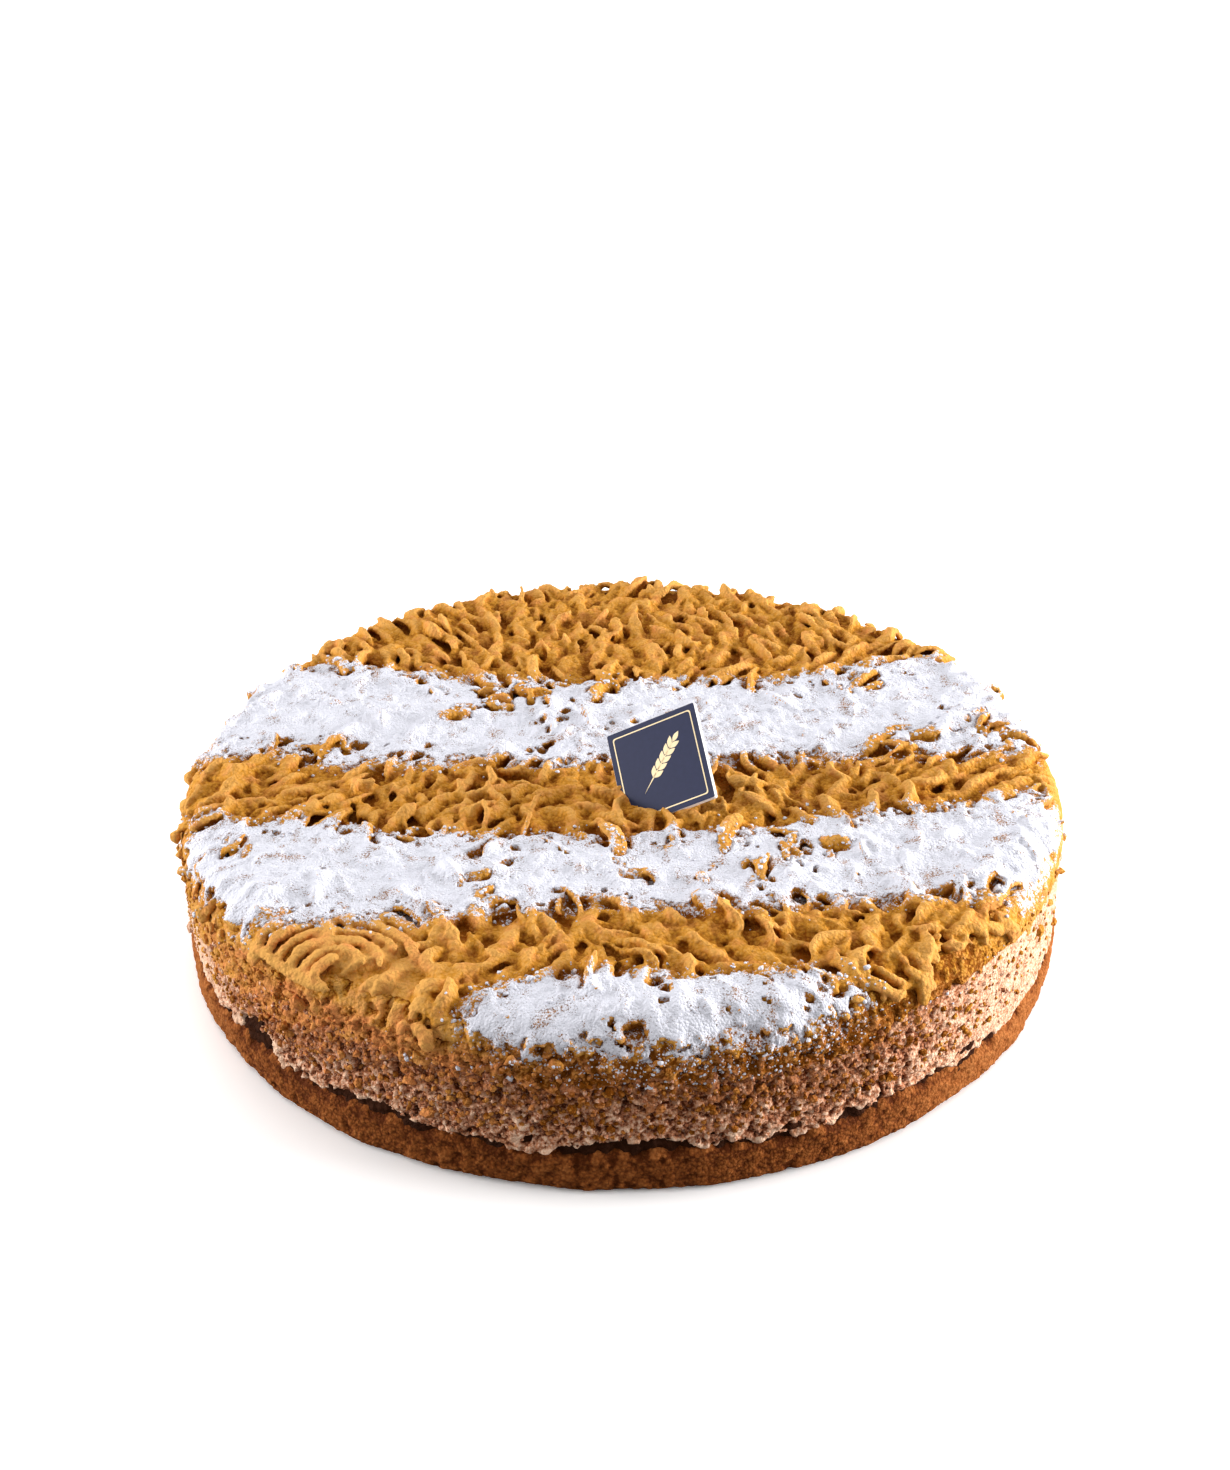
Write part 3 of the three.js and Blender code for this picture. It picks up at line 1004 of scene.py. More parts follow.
cover = {node: cover_of(amount) for node, amount in fallen.items()}
held = {node: values > 0.5 for node, values in cover.items()}
for node, places in held.items():
    bare = 1 - places[fallen[node] > 0.95].mean()
    print(node, "leaves %.0f%% of its middle bare" % (100 * bare))

# %% [markdown]
# Each band becomes a sheet over the places that hold sugar, with a skirt that goes down into the dough all
# round and at every hole, so that no gap shows.

# %% Build the sheets of sugar
skirt_depth = 0.8 * mm


def powder_sheet(places, surface):
    """Points and faces of a sheet over the given places, with a skirt, and its spots on the map."""
    cells = places[:-1, :-1] & places[1:, :-1] & places[1:, 1:] & places[:-1, 1:]
    around = np.array([(0, 0), (1, 0), (1, 1), (0, 1)])
    index = (np.argwhere(cells)[:, None] + around) @ np.array([map_size, 1])
    used, compact = np.unique(index, return_inverse=True)
    quads = compact.reshape(-1, 4)
    place = map_place.reshape(-1, 3)[used]
    facing = map_facing.reshape(-1, 3)[used]
    top = place + facing * surface.ravel()[used][:, None]
    rim = open_edges(quads, len(used))
    foot = np.full(len(used), -1)
    low = np.unique(rim)
    foot[low] = len(used) + np.arange(len(low))
    under = place[low] + facing[low] * (dough_height.ravel()[used][low] - skirt_depth)[:, None]
    skirt = np.stack([rim[:, 1], rim[:, 0], foot[rim[:, 0]], foot[rim[:, 1]]], -1)
    return np.concatenate([top, under]), np.concatenate([quads, skirt]), used


def open_edges(quads, count):
    """Edges that belong to one quad only, in that quad's direction."""
    edges = quads[:, [0, 1, 1, 2, 2, 3, 3, 0]].reshape(-1, 2)
    key = np.sort(edges, axis=1) @ np.array([count, 1])
    _, first, times = np.unique(key, return_index=True, return_counts=True)
    return edges[first[times == 1]]


def speck_amount(values):
    """The amount of powder specks that a material shows for a cover value."""
    return np.clip(0.41 + 0.3 * (values - 0.5), 0, 0.8)


def sheet_amounts(node, surface, spots, count):
    """Powder on a sheet's points: less on its own slopes, none on the foot of its skirt."""
    slipping = 0.8 * ramp(np.hypot(*np.gradient(surface, map_step)), 0.9, 2.4)
    most = 0.545 + 0.14 * uneven(map_spots, 3 * mm, 38)
    amounts = np.full(count, 0.1)
    amounts[: len(spots)] = np.minimum(speck_amount(cover[node] - slipping), most).ravel()[spots]
    return amounts


sugar_pieces = []
for node in sugar_nodes:
    surface = powder_surface(held[node])
    points, faces, spots = powder_sheet(held[node], surface)
    band = add_mesh(node.replace("band", "powder"), points, faces.tolist())
    note_values(band.data, "dusting", sheet_amounts(node, surface, spots, len(points)))
    hand_over(band, "icing_sugar", node)
    sugar_pieces.append(band)

# %% [markdown]
# At the edge of a band the powder also breaks up into single clumps, most of all at the front, where they
# roll down the shoulder.

# %% Scatter clumps of sugar
clump_count = 2600
clump_size = 0.36 * mm


def clump_places(count, seed):
    """Places on the lid where single clumps of sugar lie, more of them near the bands."""
    draw = np.random.default_rng(seed)
    total = sum(blurred(amount, 2.0 * mm) for amount in fallen.values())
    covered = np.any(list(held.values()), axis=0)
    chance = ramp(total, 0.02, 0.7) * ~covered + 0.05 * covered * ramp(total, 0.2, 0.9)
    chance = chance * (1 - 0.8 * steep) * (1 + 2 * ramp(-map_flat[..., 1], 95 * mm, 125 * mm))
    chosen = draw.choice(chance.size, count, replace=False, p=chance.ravel() / chance.sum())
    flat = map_flat.reshape(-1, 2)[chosen] + draw.uniform(-0.5, 0.5, (count, 2)) * map_step
    place, facing = on_lid(flat)
    sizes = draw.lognormal(math.log(clump_size), 0.35, count)
    return place + facing * (read_map(dough_height, flat) + 0.3 * sizes)[:, None], facing, sizes


clumps = add_mesh("sugar_clumps", *grains(*clump_places(clump_count, seed=41), flatness=0.7, seed=42))
note_values(clumps.data, "dusting", np.ones(len(clumps.data.vertices)))
hand_over(clumps, "icing_sugar")

# %% [markdown]
# ## The sides
# Base, jam, meringue and the lower part of the lid show only at the side. Each is a disc whose side is a fine
# grid, pushed in and out by a rule of its own. The discs reach past their layer lines. Each line strays up
# and down round the cake, and past it the disc draws back, so that the next one shows. That gives the ragged
# lines between real layers.

# %% A disc with a fine side
pit_depth = 1.3 * mm
most_drawn_back = 3.4 * mm


def layer(name, lower, upper, spacing, outline, shade):
    """A disc between two levels. The rules give the radius and the shade at each point of its side."""
    segments = int(2 * math.pi * cake_radius / spacing)
    rows = max(2, round((upper - lower) / spacing))
    turn = 2 * math.pi * np.arange(segments) / segments
    level = np.linspace(lower, upper, rows + 1)
    around = np.stack([np.cos(turn), np.sin(turn), np.zeros(segments)], -1) * cake_radius
    side = around + level[:, None, None] * np.array([0, 0, 1])
    radius = outline(side)
    # painted shade in pits and painted light on crests, plus the layer's own shift of shade
    crests = side_crests(radius) + shade(side)
    side[..., :2] *= (radius / cake_radius)[..., None]
    piece = add_mesh(name, side, ring_faces(segments, rows))
    note_values(piece.data, "crest", crests.ravel())
    return piece


def side_crests(radius):
    """0 in a pit of the side, 1 on a crest; the material paints pits with painted shade and crests with
    painted light.
    """
    soft = radius
    for shift in (1, 2, 3, 5):
        soft = (soft + np.roll(soft, shift, 1) + np.roll(soft, -shift, 1)) / 3
    return np.clip(0.5 + (radius - soft) / pit_depth, 0, 1)


def straying(side, reach, raggedness, seed):
    """How far a layer line strays up or down round the cake, in long waves and in small steps."""
    around = side * np.array([1, 1, 0])
    waves = 0.7 * uneven(around, 22 * mm, seed) + 0.5 * uneven(side, 7 * mm, seed + 1)
    return reach * waves + raggedness * uneven(side, 2.4 * mm, seed + 2)


def drawn_back(gap, softness=0.75 * mm):
    """How far a disc draws back, where the gap to its line is below zero."""
    return most_drawn_back * (1 - ramp(gap, -softness, softness))


print("past its line a disc draws back by %.1f mm" % (most_drawn_back / mm))

# %% [markdown]
# The base is a close, sandy shortcrust. Its side is nearly straight, with a fine crumb and a few pits, and
# its lower edge is rounded where it left the tin.

# %% Build the shortcrust base
base_rounding = 2.6 * mm
base_levels = (0, base_top + 3.5 * mm)
base_spacing = 0.6 * mm


def base_outline(side):
    """Sandy and pitted, rounded at the foot, and drawn back above its ragged line."""
    height = side[..., 2]
    sandy = 0.42 * rough(side, 2.4 * mm, 51) + 0.25 * uneven(side, 1.2 * mm, 54)
    waves = 0.6 * uneven(side, 12 * mm, 57)
    pits = -0.7 * ramp(uneven(side * np.array([1, 1, 1.8]), 3.0 * mm, 58), 0.45, 0.9)
    low = np.clip(1 - height / base_rounding, 0, 1)
    rounding = base_rounding * (1 - np.sqrt(1 - low**2)) * 0.8
    line = base_top + 0.9 * mm + straying(side, 2.2 * mm, 0.8 * mm, 59)
    back = drawn_back(line - height, 1.6 * mm)
    return cake_radius - 0.5 * mm + (sandy + waves + pits) * mm - rounding - back


def base_shade(side):
    """Darker towards the jam. Paler at the flanks and darker at the front: partly a browner bake, partly
    painted light on the lit flanks and painted shade on the shaded front.
    """
    return 0.3 - 0.42 * in_front(side) - 0.2 * ramp(side[..., 2], base_top - 3 * mm, base_top)


base = layer("shortcrust_crumb", *base_levels, base_spacing, base_outline, base_shade)
hand_over(base, "shortcrust", "shortcrust_base")

# %% [markdown]
# The jam is a thin dark line. It has soaked in here and oozed out there, and base and meringue cover it in
# places, so it shows as dark patches more than as a stripe.

# %% Build the jam
dark_patch_heading = -139
jam_levels = (base_top - 2.5 * mm, jam_top + 7 * mm)
jam_spacing = 0.75 * mm


def dark_patch(side):
    """1 where a dark lump of jam shows at the front left, 0 elsewhere."""
    return facing_way(side, dark_patch_heading, 0.9965, 0.9995)


def jam_outline(side):
    """Oozing out here and there, and thinner towards the top."""
    ooze = 0.9 * rough(side, 7 * mm, 61) + 1.1 * rough(side, 2.4 * mm, 64)
    thinning = 2.5 * ramp(side[..., 2], jam_top + 1 * mm, jam_top + 4 * mm) * (1 - dark_patch(side))
    return cake_radius - 2.2 * mm + (ooze - thinning) * mm


def unshaded(side):
    """Nothing is added to the shade."""
    return np.zeros(side.shape[:-1])


jam = layer("jam_line", *jam_levels, jam_spacing, jam_outline, unshaded)
hand_over(jam, "jam", "jam_layer")

# %% [markdown]
# The meringue is a dry foam full of ground nuts. Pressed at the tin, it shows crumbs of every size, crags and
# small caves. The front is the most broken and brown, and the flanks are smoother and pale. Part of that
# brown is painted shade, and part of that pale is painted light from the side lamps.
# The lid's dough ends in a ragged line above it. At the left it was dragged down further, and on the right
# flank the foam rose higher and sank on to the base, so that less jam shows.

# %% Build the meringue
meringue_levels = (jam_top - 4.5 * mm, meringue_top + 8 * mm)
meringue_spacing = 0.55 * mm
# how far the line is dragged down at the left and risen at the right, in millimetres
dragged_down, risen_at_right = 9.5, 4.5
highest_line = meringue_top + 7 * mm


def lid_line(side):
    """Height of the ragged line between the meringue and the lid's dough."""
    dragged = dragged_down * ramp(-side[..., 0] / cake_radius, 0.5, 0.88)
    line = meringue_top + (0.8 - dragged + risen_at_right * on_right(side)) * mm
    return np.minimum(line + straying(side, 3.0 * mm, 2.2 * mm, 111), highest_line)


def meringue_outline(side):
    """Crumbs, ledges and caves between two ragged lines."""
    height = side[..., 2]
    broken = 0.3 + 0.7 * in_front(side)
    torn = 0.25 - np.abs(uneven(side, 1.5 * mm, 72))
    crumbs = 0.6 * uneven(side, 0.95 * mm, 71) + 0.8 * torn + 0.3 * rough(side, 2.6 * mm, 74)
    ledges = 1.2 * rough(side * np.array([1, 1, 1.7]), 6.5 * mm, 77)
    caves = -2.6 * broken * ramp(uneven(side * np.array([1, 1, 1.5]), 2.2 * mm, 80), 0.42, 0.88)
    lower = jam_top + (6 * dark_patch(side) - 2.2 * on_right(side) - 0.8) * mm
    lower += straying(side, 4.4 * mm, 1.8 * mm, 101)
    upper = lid_line(side) + 2.5 * mm
    gap = np.minimum(height - lower, upper - height)
    return cake_radius - 1.2 * mm + (crumbs + ledges + caves) * broken * mm - drawn_back(gap)


def meringue_shade(side):
    """Pale at the flanks, partly painted light; warmer on the right one; brown at the front, partly a browner
    bake and partly painted shade.
    """
    return 0.5 - 0.52 * in_front(side) - 0.2 * ramp(side[..., 0] / cake_radius, 0.3, 0.7)


def meringue_toasting(points):
    """More toasted up to the dough, so that the line between the two is soft."""
    line = lid_line(points)
    return 0.42 * ramp(points[..., 2], line - 11 * mm, line) * in_front(points)


meringue = layer("meringue_crumb", *meringue_levels, meringue_spacing, meringue_outline, meringue_shade)
note_values(meringue.data, "toasting", meringue_toasting(points_of(meringue.data)))
hand_over(meringue, "meringue", "meringue_layer")

# %% [markdown]
# Below the strands, the lid's dough was pressed against the tin. At the flanks it is nearly smooth. At the
# front it has crumbled: near the shoulder it keeps lumps as big as a strand, and further down the crumbs get
# as fine and brown as those of the meringue. That brown is partly a browner bake and partly painted shade.

# %% Build the crumbled side of the lid
lid_side_levels = (meringue_top - 14 * mm, lid_top - 2.0 * mm)
lid_side_spacing = 0.6 * mm


def upper_part(side):
    """1 near the shoulder of the lid, 0 near the meringue."""
    return ramp(side[..., 2], meringue_top, side_top + 2 * mm)


def lid_side_outline(side):
    """Lumps above and crumbs below on the curve of the shoulder, down to the ragged line."""
    height = side[..., 2]
    over = np.clip(height - side_top, 0, 0.98 * shoulder)
    shape = lid_flat + np.sqrt(shoulder**2 - over**2)
    high = upper_part(side)
    broken = 0.25 + 0.75 * in_front(side)
    lumps = 1.3 * rough(side, 3.4 * mm, 94)
    torn = 0.25 - np.abs(uneven(side, 2.2 * mm, 96))
    crumbs = 0.6 * uneven(side, 1.25 * mm, 97) + 1.1 * torn + 0.6 * rough(side, 2.6 * mm, 84)
    caves = -2.8 * ramp(uneven(side, 2.3 * mm, 87), 0.3, 0.8)
    relief = lumps * high + crumbs * (1 - 0.4 * high) + caves
    return shape - 0.5 * mm + relief * broken * mm - drawn_back(height - lid_line(side), 1.8 * mm)


def lid_side_shade(side):
    """Golden near the shoulder and at the flanks; brown at the front, a little right of the middle, partly a
    browner bake and partly painted shade.
    """
    return 0.2 - 0.76 * facing_way(side, -72, 0.77, 0.96) * (1 - 0.25 * upper_part(side))


lid_side = layer("dough_crumb", *lid_side_levels, lid_side_spacing, lid_side_outline, lid_side_shade)
hand_over(lid_side, "baked_dough", "dough_lid")

# %% [markdown]
# ## The plaque
# A small square plaque is pushed into the lid by one corner. It is a stiff card with a dark printed face and
# a white core that shows at its edge. Its solid in the frame gives the corners, so the card is built in a
# flat square and then moved there. A thin gold line and an ear of wheat decorate the face.

# %% Read the plaque's place from its solid
flat_within = 0.05 * mm

plaque_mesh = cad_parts["plaque"].data
plaque_facing = max(plaque_mesh.polygons, key=lambda face: face.area).normal.copy()
if plaque_facing.y > 0:
    plaque_facing.negate()
plaque_points = points_of(plaque_mesh)
depths = plaque_points @ np.array(plaque_facing)
plaque_thickness = depths.max() - depths.min()
front_corners = np.unique(plaque_points[depths > depths.max() - flat_within].round(6), axis=0)
foot = front_corners[front_corners[:, 2].argmin()]
from_foot = sorted((Vector(corner - foot) for corner in front_corners), key=lambda way: way.length)
plaque_side = from_foot[1].length
plaque_left, plaque_right = sorted((way.normalized() for way in from_foot[1:3]), key=lambda way: way.x)
print("plaque: %.1f mm square, %.2f mm thick" % (plaque_side / mm, plaque_thickness / mm))

# %% Helpers for flat plates on the plaque
plaque_place = Matrix.Identity(4)
for column, way in enumerate((plaque_right, plaque_left, plaque_facing)):
    plaque_place.col[column] = (*way, 0)
plaque_place.col[3] = (*foot, 1)


def rounded_square(inset, radius, steps=6):
    """A square inside the plaque's outline, with rounded corners."""
    low, high = inset + radius, plaque_side - inset - radius
    outline = []
    for corner, (x, y) in enumerate([(high, high), (low, high), (low, low), (high, low)]):
        for turn in np.linspace(0, math.pi / 2, steps) + corner * math.pi / 2:
            outline.append((x + radius * math.cos(turn), y + radius * math.sin(turn)))
    return outline


def plate(loops):
    """Points and faces of a plate through (outline, height) loops from back to front."""
    points = [(x, y, height) for outline, height in loops for x, y in outline]
    return points, ring_faces(len(loops[0][0]), len(loops) - 1)


def on_plaque(name, plates):
    """One piece of several plates, moved to the plaque's place."""
    piece = add_mesh(name, *gathered(*plates))
    piece.data.transform(plaque_place)
    piece.data.shade_flat()
    return piece


print("plaque leans back by %.0f degrees" % math.degrees(math.asin(plaque_facing.z)))

# %% Build the card
edge = 0.12 * mm
card_loops = [
    (rounded_square(edge, 0.5 * mm), -plaque_thickness),
    (rounded_square(0, 0.6 * mm), -plaque_thickness + edge),
    (rounded_square(0, 0.6 * mm), -2.5 * edge),
    (rounded_square(0.3 * edge, 0.6 * mm), -edge),
    (rounded_square(edge, 0.5 * mm), 0),
]
card = on_plaque("plaque_card", [plate(card_loops)])
hand_over(card, "plaque_card", "plaque")

# %% Build the gold line and the ear of wheat
foil = 0.05 * mm
grain_length = 3.6 * mm
grain_width = 1.5 * mm
stem_width = 0.5 * mm
line_inset = 1.7 * mm
line_width = 0.35 * mm
line_corner = 0.8 * mm
ear_pairs = 5


def gold_frame(inset, width):
    """A thin raised line that runs round the face: four loops, with the last joined to the first."""
    loops = [(inset, -foil), (inset, foil), (inset + width, foil), (inset + width, -foil)]
    points, _ = plate([(rounded_square(offset, line_corner), height) for offset, height in loops])
    sides = ring_faces(len(points) // len(loops), len(loops))[:-2]
    return points, [[index % len(points) for index in face] for face in sides]


def leaf(x, y, heading, length, width, steps=8):
    """A pointed oval plate that starts at a place and runs along a heading."""
    share = np.linspace(0, 1, steps + 1)
    swell = width / 2 * np.sin(math.pi * share)
    there = list(zip(share * length, -swell))
    back = list(zip(share[-2:0:-1] * length, swell[-2:0:-1]))
    cos, sin = math.cos(heading), math.sin(heading)
    outline = [(x + along * cos - out * sin, y + along * sin + out * cos) for along, out in there + back]
    return plate([(outline, -foil), (outline, foil)])


def wheat_ear():
    """An upright ear along the plaque's diagonal: a stem, pairs of grains and one at the tip."""
    upright = math.pi / 4
    low = 0.28 * plaque_side
    step = 0.058 * plaque_side
    plates = [leaf(low, low, upright, 0.62 * plaque_side, stem_width)]
    for pair in range(ear_pairs):
        at = low + (2.2 + pair) * step
        for spread in (-0.5, 0.5):
            plates.append(leaf(at, at, upright + spread, grain_length, grain_width))
    tip = low + 7.0 * step
    plates.append(leaf(tip, tip, upright, grain_length, grain_width))
    return plates


gold = on_plaque("plaque_gold", [gold_frame(line_inset, line_width), *wheat_ear()])
hand_over(gold, "plaque_card")

# %% [markdown]
# ## Loose crumbs
# Where the cake was lifted out of its tin, crumbs hang on to the side. They are the same grains as the sugar
# clumps, larger and rounder, and each takes the colour of its layer. Below the front band some sugar has
# rolled down among them.

# %% Scatter crumbs
side_trees = [tree_of(piece.data) for piece in (lid_side, meringue, base)]
probe_start = cake_radius + 10 * mm
probe_length = 30 * mm


def side_place(turn, height):
    """The outermost place of the side at an angle and a height, and the way out."""
    outward = Vector((math.cos(turn), math.sin(turn), 0))
    start = outward * probe_start + Vector((0, 0, height))
    hits = [tree.ray_cast(start, -outward, probe_length) for tree in side_trees]
    nearest = min((hit for hit in hits if hit[0] is not None), key=lambda hit: hit[3])
    return nearest[0], outward


def side_crumbs(name, shade, middle=-102, spread=38):
    """Crumbs of one kind on the side, round a middle heading in degrees, shaded like their layer."""
    count, heights, size, seed = crumb_kinds[name]
    draw = np.random.default_rng(seed)
    turns = draw.normal(math.radians(middle), math.radians(spread), count)
    found = [side_place(turn, height) for turn, height in zip(turns, draw.uniform(*heights, count))]
    places, facings = (np.array(values) for values in zip(*found))
    sizes = draw.lognormal(math.log(size), 0.38, count)
    spots = places + facings * (0.2 * sizes)[:, None]
    piece = add_mesh(name, *grains(spots, facings, sizes, flatness=0.8, seed=seed + 1))
    shades = draw.uniform(0.25, 0.75, count) + shade(places)
    note_values(piece.data, "crest", np.repeat(shades, len(piece.data.vertices) // count))
    piece.data.shade_flat()
    return piece


def crumb_shade(places):
    """Like the side of the lid at half strength, so less brown at the front, a brown that is partly painted
    shade.
    """
    return 0.5 * lid_side_shade(places)


crumb_kinds = {
    # how many there are, between which heights, how large, and the seed of their places
    "dough_crumbs": (1800, (jam_top + 4 * mm, lid_top - 6 * mm), 0.55 * mm, 81),
    "meringue_crumbs": (1200, (jam_top, meringue_top + 5 * mm), 0.42 * mm, 84),
    "sugar_rolled_down": (520, (meringue_top + 2 * mm, lid_top - 4 * mm), 0.26 * mm, 88),
}
dough_crumbs = side_crumbs("dough_crumbs", crumb_shade)
hand_over(dough_crumbs, "baked_dough")
meringue_crumbs = side_crumbs("meringue_crumbs", meringue_shade)
hand_over(meringue_crumbs, "meringue")
rolled_sugar = side_crumbs("sugar_rolled_down", unshaded, middle=-80, spread=14)
note_values(rolled_sugar.data, "dusting", np.ones(len(rolled_sugar.data.vertices)))
hand_over(rolled_sugar, "icing_sugar")

# %% [markdown]
# ## Shared effects
# Three effects turn up in more than one material, so each is a node group: the fine grain of a crumb, the
# baked colour with painted light, pale on crests, and painted shade, deep in crevices, and stray powder on
# what lies near the sugar.

# %% Small helpers for node trees
def feed(tree, node, inputs):
    """Sets inputs of a node. Each takes a value, or the output socket that feeds it."""
    for name, value in inputs.items():
        if isinstance(value, bpy.types.NodeSocket):
            tree.links.new(value, node.inputs[name])
        else:
            node.inputs[name].default_value = value


def add_node(tree, kind, inputs=None, **settings):
    """A new node with its settings, fed with values and sockets."""
    made = tree.nodes.new("ShaderNode" + kind)
    for name, value in settings.items():
        setattr(made, name, value)
    feed(tree, made, inputs or {})
    return made


def worked_out(tree, operation, *values):
    """The result of a sum with two or three values or sockets."""
    return add_node(tree, "Math", dict(enumerate(values)), operation=operation).outputs[0]


def stepped(tree, value, low, high, bottom=0.0, top=1.0):
    """A ramp that goes from bottom to top while the value goes from low to high."""
    inputs = {"Value": value, "From Min": low, "From Max": high, "To Min": bottom, "To Max": top}
    return add_node(tree, "MapRange", inputs).outputs["Result"]


def blended(tree, share, first, second, blend_type="MIX"):
    """A colour between two others, by a share from 0 to 1."""
    inputs = {"Factor": share, "A": first, "B": second}
    return add_node(tree, "Mix", inputs, data_type="RGBA", blend_type=blend_type).outputs["Result"]


print("node groups so far:", len(bpy.data.node_groups))

# %% Noise and empty groups
def surface_place(tree):
    """The surface's own place on the cake, in metres."""
    return add_node(tree, "TexCoord").outputs["Object"]


def noise(tree, scale, detail, roughness=0.5):
    """Soft noise over the surface, from 0 to 1."""
    inputs = {"Vector": surface_place(tree), "Scale": scale, "Detail": detail, "Roughness": roughness}
    return add_node(tree, "TexNoise", inputs).outputs["Fac"]


def new_group(name, inputs, outputs):
    """An empty shader group with named sockets: its tree, what it is given, and its exit."""
    group = bpy.data.node_groups.new(name, "ShaderNodeTree")
    for socket, value in inputs.items():
        kind = "NodeSocketFloat" if isinstance(value, float) else "NodeSocketColor"
        group.interface.new_socket(socket, in_out="INPUT", socket_type=kind).default_value = value
    for socket, kind in outputs.items():
        group.interface.new_socket(socket, in_out="OUTPUT", socket_type=kind)
    return group, group.nodes.new("NodeGroupInput").outputs, group.nodes.new("NodeGroupOutput")


print("materials so far:", len(bpy.data.materials))

# %% The grain of a crumb
finer_than_cells = 1.7
fleck_step = (0.52, 0.68)


def crumb_grain_group():
    """Height of fine grains, and a mask of paler flecks."""
    inputs = {"Grains per metre": 900.0, "Fleck share": 0.0}
    outputs = {"Height": "NodeSocketFloat", "Fleck": "NodeSocketFloat"}
    tree, given, leave = new_group("crumb grain", inputs, outputs)
    scale = given["Grains per metre"]
    soft = noise(tree, worked_out(tree, "MULTIPLY", scale, finer_than_cells), 4.0, 0.65)
    cells = add_node(tree, "TexVoronoi", {"Vector": surface_place(tree), "Scale": scale})
    height = worked_out(tree, "SUBTRACT", soft, cells.outputs["Distance"])
    fleck = stepped(tree, noise(tree, scale, 2.0, 0.6), *fleck_step, top=given["Fleck share"])
    feed(tree, leave, {"Height": height, "Fleck": fleck})
    return tree


crumb_grain = crumb_grain_group()
print("group:", crumb_grain.name)

# %% Browning
toast_patches = 210.0
toast_step = (0.5, 0.85)
most_toast = 0.95
brightening = (1.5, 1.5, 1.5, 1)
deep_to_body = (0.12, 0.52)
body_to_crest = (0.5, 0.95)


def browning_and_shade_group():
    """Painted shade deep in crevices and painted light pale on crests, with patches, specks and toasted
    places.
    """
    inputs = {
        "Crest": 0.5,
        "Pale": (0.8, 0.5, 0.2, 1),
        "Golden": (0.6, 0.3, 0.08, 1),
        "Toasted": (0.5, 0.2, 0.05, 1),
        "Deep": (0.2, 0.08, 0.02, 1),
        "Patches per metre": 130.0,
        "Patchiness": 0.7,
        "Specks per metre": 1100.0,
        "Speckle": 0.3,
        "Toasting": 0.0,
    }
    tree, given, leave = new_group("browning_and_shade", inputs, {"Color": "NodeSocketColor"})
    shade = given["Crest"]
    for scale, amount in (("Patches per metre", "Patchiness"), ("Specks per metre", "Speckle")):
        swing = worked_out(tree, "SUBTRACT", noise(tree, given[scale], 4.0, 0.65), 0.5)
        shade = worked_out(tree, "MULTIPLY_ADD", swing, given[amount], shade)
    toasting = worked_out(tree, "ADD", noise(tree, toast_patches, 3.0), given["Toasting"])
    toast = stepped(tree, toasting, *toast_step, top=most_toast)
    body = blended(tree, toast, given["Golden"], given["Toasted"])
    # painted light: crests take a paler colour, the Pale shade or the Toasted one made brighter
    bright_toast = blended(tree, 1.0, given["Toasted"], brightening, "MULTIPLY")
    crest = blended(tree, toast, given["Pale"], bright_toast)
    # painted shade: low crest values, in crevices and pits, go to the Deep colour
    lower = blended(tree, stepped(tree, shade, *deep_to_body), given["Deep"], body)
    feed(tree, leave, {"Color": blended(tree, stepped(tree, shade, *body_to_crest), lower, crest)})
    return tree


browning_and_shade = browning_and_shade_group()
print("group:", browning_and_shade.name)

# %% Stray powder
powder_step = (0.885, 0.935)


def stray_powder_group():
    """White specks over a colour. An amount of 0 gives none, 1 gives nearly all white."""
    inputs = {
        "Color": (0.5, 0.3, 0.1, 1),
        "Powder": (0.8, 0.8, 0.85, 1),
        "Amount": 0.0,
        "Specks per metre": 1000.0,
    }
    tree, given, leave = new_group("stray powder", inputs, {"Color": "NodeSocketColor"})
    total = worked_out(tree, "ADD", noise(tree, given["Specks per metre"], 4.0, 0.8), given["Amount"])
    white = stepped(tree, total, *powder_step)
    feed(tree, leave, {"Color": blended(tree, white, given["Color"], given["Powder"])})
    return tree


stray_powder = stray_powder_group()
print("group:", stray_powder.name)

# %% [markdown]
# ## Materials
# All baked materials are built alike: the stored crest value drives the baked colour, with painted shade in
# crevices and painted light on crests. The crumb grain adds flecks, darkens its pits as painted shade and
# lifts the surface through a bump, and the shader is matte. They differ in colour and grain, and only the
# dough has powder on it.

# %% Helpers for materials
sugar_white = (0.715, 0.715, 0.785, 1)


def new_material(name, roughness, shine):
    """A material, its tree and its shader."""
    material = bpy.data.materials.new(name)
    material.use_nodes = True
    tree = material.node_tree
    shader = tree.nodes["Principled BSDF"]
    feed(tree, shader, {"Roughness": roughness, "Specular IOR Level": shine})
    return material, tree, shader


def placed(tree, group, inputs):
    """The outputs of a group that is placed in a material."""
    return add_node(tree, "Group", inputs, node_tree=group).outputs


def stored(tree, name):
    """A number that is stored at each point of the mesh."""
    return add_node(tree, "Attribute", attribute_name=name).outputs["Fac"]


def bumped(tree, height, strength, distance):
    """The way the surface faces once a height has lifted it."""
    inputs = {"Height": height, "Strength": strength, "Distance": distance}
    return add_node(tree, "Bump", inputs).outputs["Normal"]


def with_powder(tree, colour, specks=1000.0):
    """A colour with powder specks over it, by the amount that is stored on the mesh."""
    inputs = {"Powder": sugar_white, "Amount": stored(tree, "dusting"), "Specks per metre": specks}
    return placed(tree, stray_powder, {**inputs, "Color": colour})["Color"]


print("sugar is", sugar_white[:3])

# %% Baked materials
shade_names = ("Pale", "Golden", "Toasted", "Deep")
